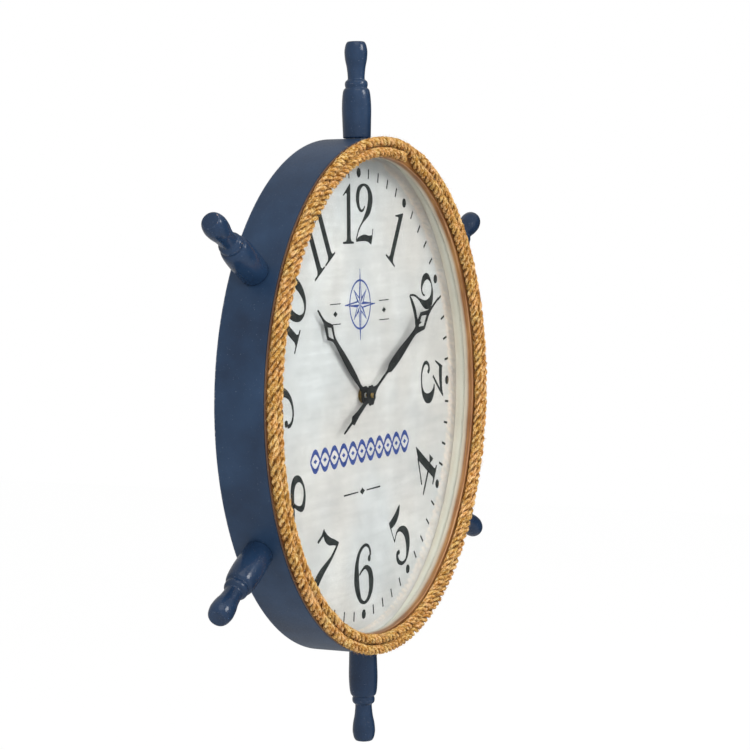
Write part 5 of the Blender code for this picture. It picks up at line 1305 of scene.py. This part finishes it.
# %% [markdown]
# ## Brass at the middle
# A hexagon nut on a washer holds the movement to the dial, and a small round nut holds the minute hand.
# Brass from a turning shop is bright for a week and then goes olive, so its colour wanders between the two.
# A metal has no colour under its shine: its base colour is the tint of what it mirrors.

# %% Brass nuts and washer
brass = plain_finish("tarnished_turned_brass", "7E6A36", "C8A75E", 4, 0.35, 0.01, 0.34, metallic=1.0)
NUT_SEGMENTS, WASHER_SEGMENTS, CAP_SEGMENTS = 120, 96, 64
CHAMFER_SHARE, CHAMFER_TOP_SHARE, CHAMFER_SLOPE = 0.12, 0.985, 2.2
WASHER_ROUND, CAP_ROUND = 0.15 * MM, 0.12 * MM
CAP_SHARES = ((1, 0.45), (0.86, 0.7), (0.6, 0.93))


def hex_nut(node):
    """A hexagon nut: at the angle a its side is at apothem / cos(a mod 60 - 30), cut back near both faces
    by the chamfer's cone, and a round bore runs through it."""
    solid = corners(node)
    bore, across_corners, low, high = ring_of(node)
    first = solid[np.hypot(solid[:, 0], solid[:, 2]).argmax()]
    apothem = across_corners * math.cos(math.pi / 6)
    a = np.linspace(0, 2 * math.pi, NUT_SEGMENTS, endpoint=False)
    side = apothem / np.cos(a % (math.pi / 3) - math.pi / 6)
    chamfer = CHAMFER_SHARE * (high - low)
    cone = apothem * CHAMFER_TOP_SHARE + np.array([0, 1, 1, 0])[None, :] * CHAMFER_SLOPE * chamfer
    rings = np.hstack([np.minimum(side[:, None], cone), np.full((len(a), 2), bore)])
    depth = np.array([low, low + chamfer, high - chamfer, high, high, low])
    out = direction(math.atan2(first[0], first[2]) + a)
    points = rings[..., None] * out[:, None] - depth[None, :, None] * np.array([0, 1, 0])
    return points.reshape(-1, 3), grid_faces(len(a), len(depth), True, True).tolist()


points, faces = hex_nut("dial_nut")
add_piece("brass_dial_nut", points, faces, brass, "brass", stands_for=["dial_nut"], sharp=20)

points, faces = turned(rounded(section("dial_washer"), WASHER_ROUND), WASHER_SEGMENTS, closed=True)
add_piece("brass_dial_washer", points, faces, brass, "brass", stands_for=["dial_washer"])

bore, reach, low, high = ring_of("minute_hand_nut")
cap = [(bore, low), (reach, low), (bore, high)]
cap[2:2] = [(radius * reach, low + share * (high - low)) for radius, share in CAP_SHARES]
points, faces = turned(rounded(cap, CAP_ROUND), CAP_SEGMENTS, closed=True)
add_piece("brass_minute_nut", points, faces, brass, "brass", body="minute_body",
          stands_for=["minute_hand_nut"])

# %% [markdown]
# ## What the back shows
# From behind, the clock is plain work: zinc-plated brackets and hanger, bright screws, a black plastic
# movement with its setting knob, and a cell in its bay. Their solids have the right shape already, so they
# only get a finish, each from the same recipe. The record names the material slot of each solid, and the
# list below gives each slot its finish.

# %% Finishes for the other solids
FINISHES = {
    "navy_painted_steel": navy_on_steel,
    "navy_painted_wood": navy_on_wood,
    "white_card": card,
    "printed_dial": dial_finish,
    "jute": jute_finish,
    "hand_lacquer": lacquer,
    "brass": brass,
    # Bright zinc plate on pressed steel: a cool grey metal, slightly cloudy.
    "zinc_steel": plain_finish("zinc_plated_steel", "9EA3A6", "B9BEC0", 6, 0.6, 0.01, 0.38, metallic=1.0),
    # Zinc-plated screw wire: brighter than sheet, and finer.
    "screw_steel": plain_finish("bright_zinc_screw", "A9A9A6", "C6C6C2", 2, 0.3, 0.01, 0.3, metallic=1.0),
    # Nitrile rubber, moulded: nearly black and quite matt.
    "black_rubber": plain_finish("moulded_nitrile_rubber", "1A1A1A", "262626", 5, 0.4, 0.03, 0.8),
    # ABS with a spark-eroded texture from its mould: black with a fine even grain.
    "black_plastic": plain_finish("moulded_black_abs", "161617", "232325", 8, 0.45, 0.05, 0.5),
    # Plastic-bonded ferrite: a dull dark grey.
    "magnet": plain_finish("bonded_ferrite_magnet", "3B3B3D", "4B4B4D", 1, 0.2, 0.01, 0.6),
    # Annealed soft iron, stamped: dark grey metal with a faint blue bloom.
    "soft_iron": plain_finish("annealed_soft_iron", "7C7E82", "989A9C", 3, 0.25, 0.01, 0.42, metallic=1.0),
    # Enamelled copper wire wound side by side: the squeezed pattern gives its turns along z.
    "enamelled_copper": plain_finish("enamelled_copper_wire", "8E4A26", "C77B4C", 2, 0.35, 0.03, 0.32,
                                     metallic=1.0, stretch=(0.05, 0.05, 1)),
    # Green solder mask over glass-fibre board: a smooth mid green.
    "circuit_board_green": plain_finish("green_solder_mask", "245C3A", "347A50", 5, 0.5, 0.01, 0.35),
    # Natural acetal, moulded: a milky white that is slightly waxy.
    "wheel_plastic": plain_finish("natural_acetal", "D2CFC4", "E2E0D6", 4, 0.5, 0.01, 0.4),
}


def battery_sleeve():
    """A shrink sleeve on a dry cell. It gives the eye two plain bands and a bare metal end at its pole."""
    material, add, place = new_finish("plain_printed_cell_sleeve")
    low, high = (corner.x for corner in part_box("battery"))
    share = add("MapRange", [add("SeparateXYZ", [place], out="X"), low, high])
    bands = add("ValToRGB", [share], [(0.0, "B9B9B4"), (0.03, "3D4247"), (0.66, "43494E"),
                                      (0.67, "B08A4A"), (0.94, "B8934F"), (0.95, "BFBFBA")])
    grit = add("TexNoise", [place, blotches(3), 4])
    shade = add("MapRange", [grit, 0, 1, 0.85, 1.12])
    colour = add("VectorMath", [bands, shade], operation="SCALE")
    rough = add("MapRange", [grit, 0, 1, 0.22, 0.36])
    close_finish(add, {"Base Color": colour, "Metallic": 0.7, "Roughness": rough})
    return material


FINISHES["battery_sleeve"] = battery_sleeve()
finished = 0
for part in frame["record"]["subparts"]:
    solid = frame["nodes"][part["node"]]
    finish = FINISHES.get(part["material_slot"])
    if finish and not solid.hide_render:
        solid.data.materials.clear()
        solid.data.materials.append(finish)
        finished += 1
print("solids that got a finish:", finished)
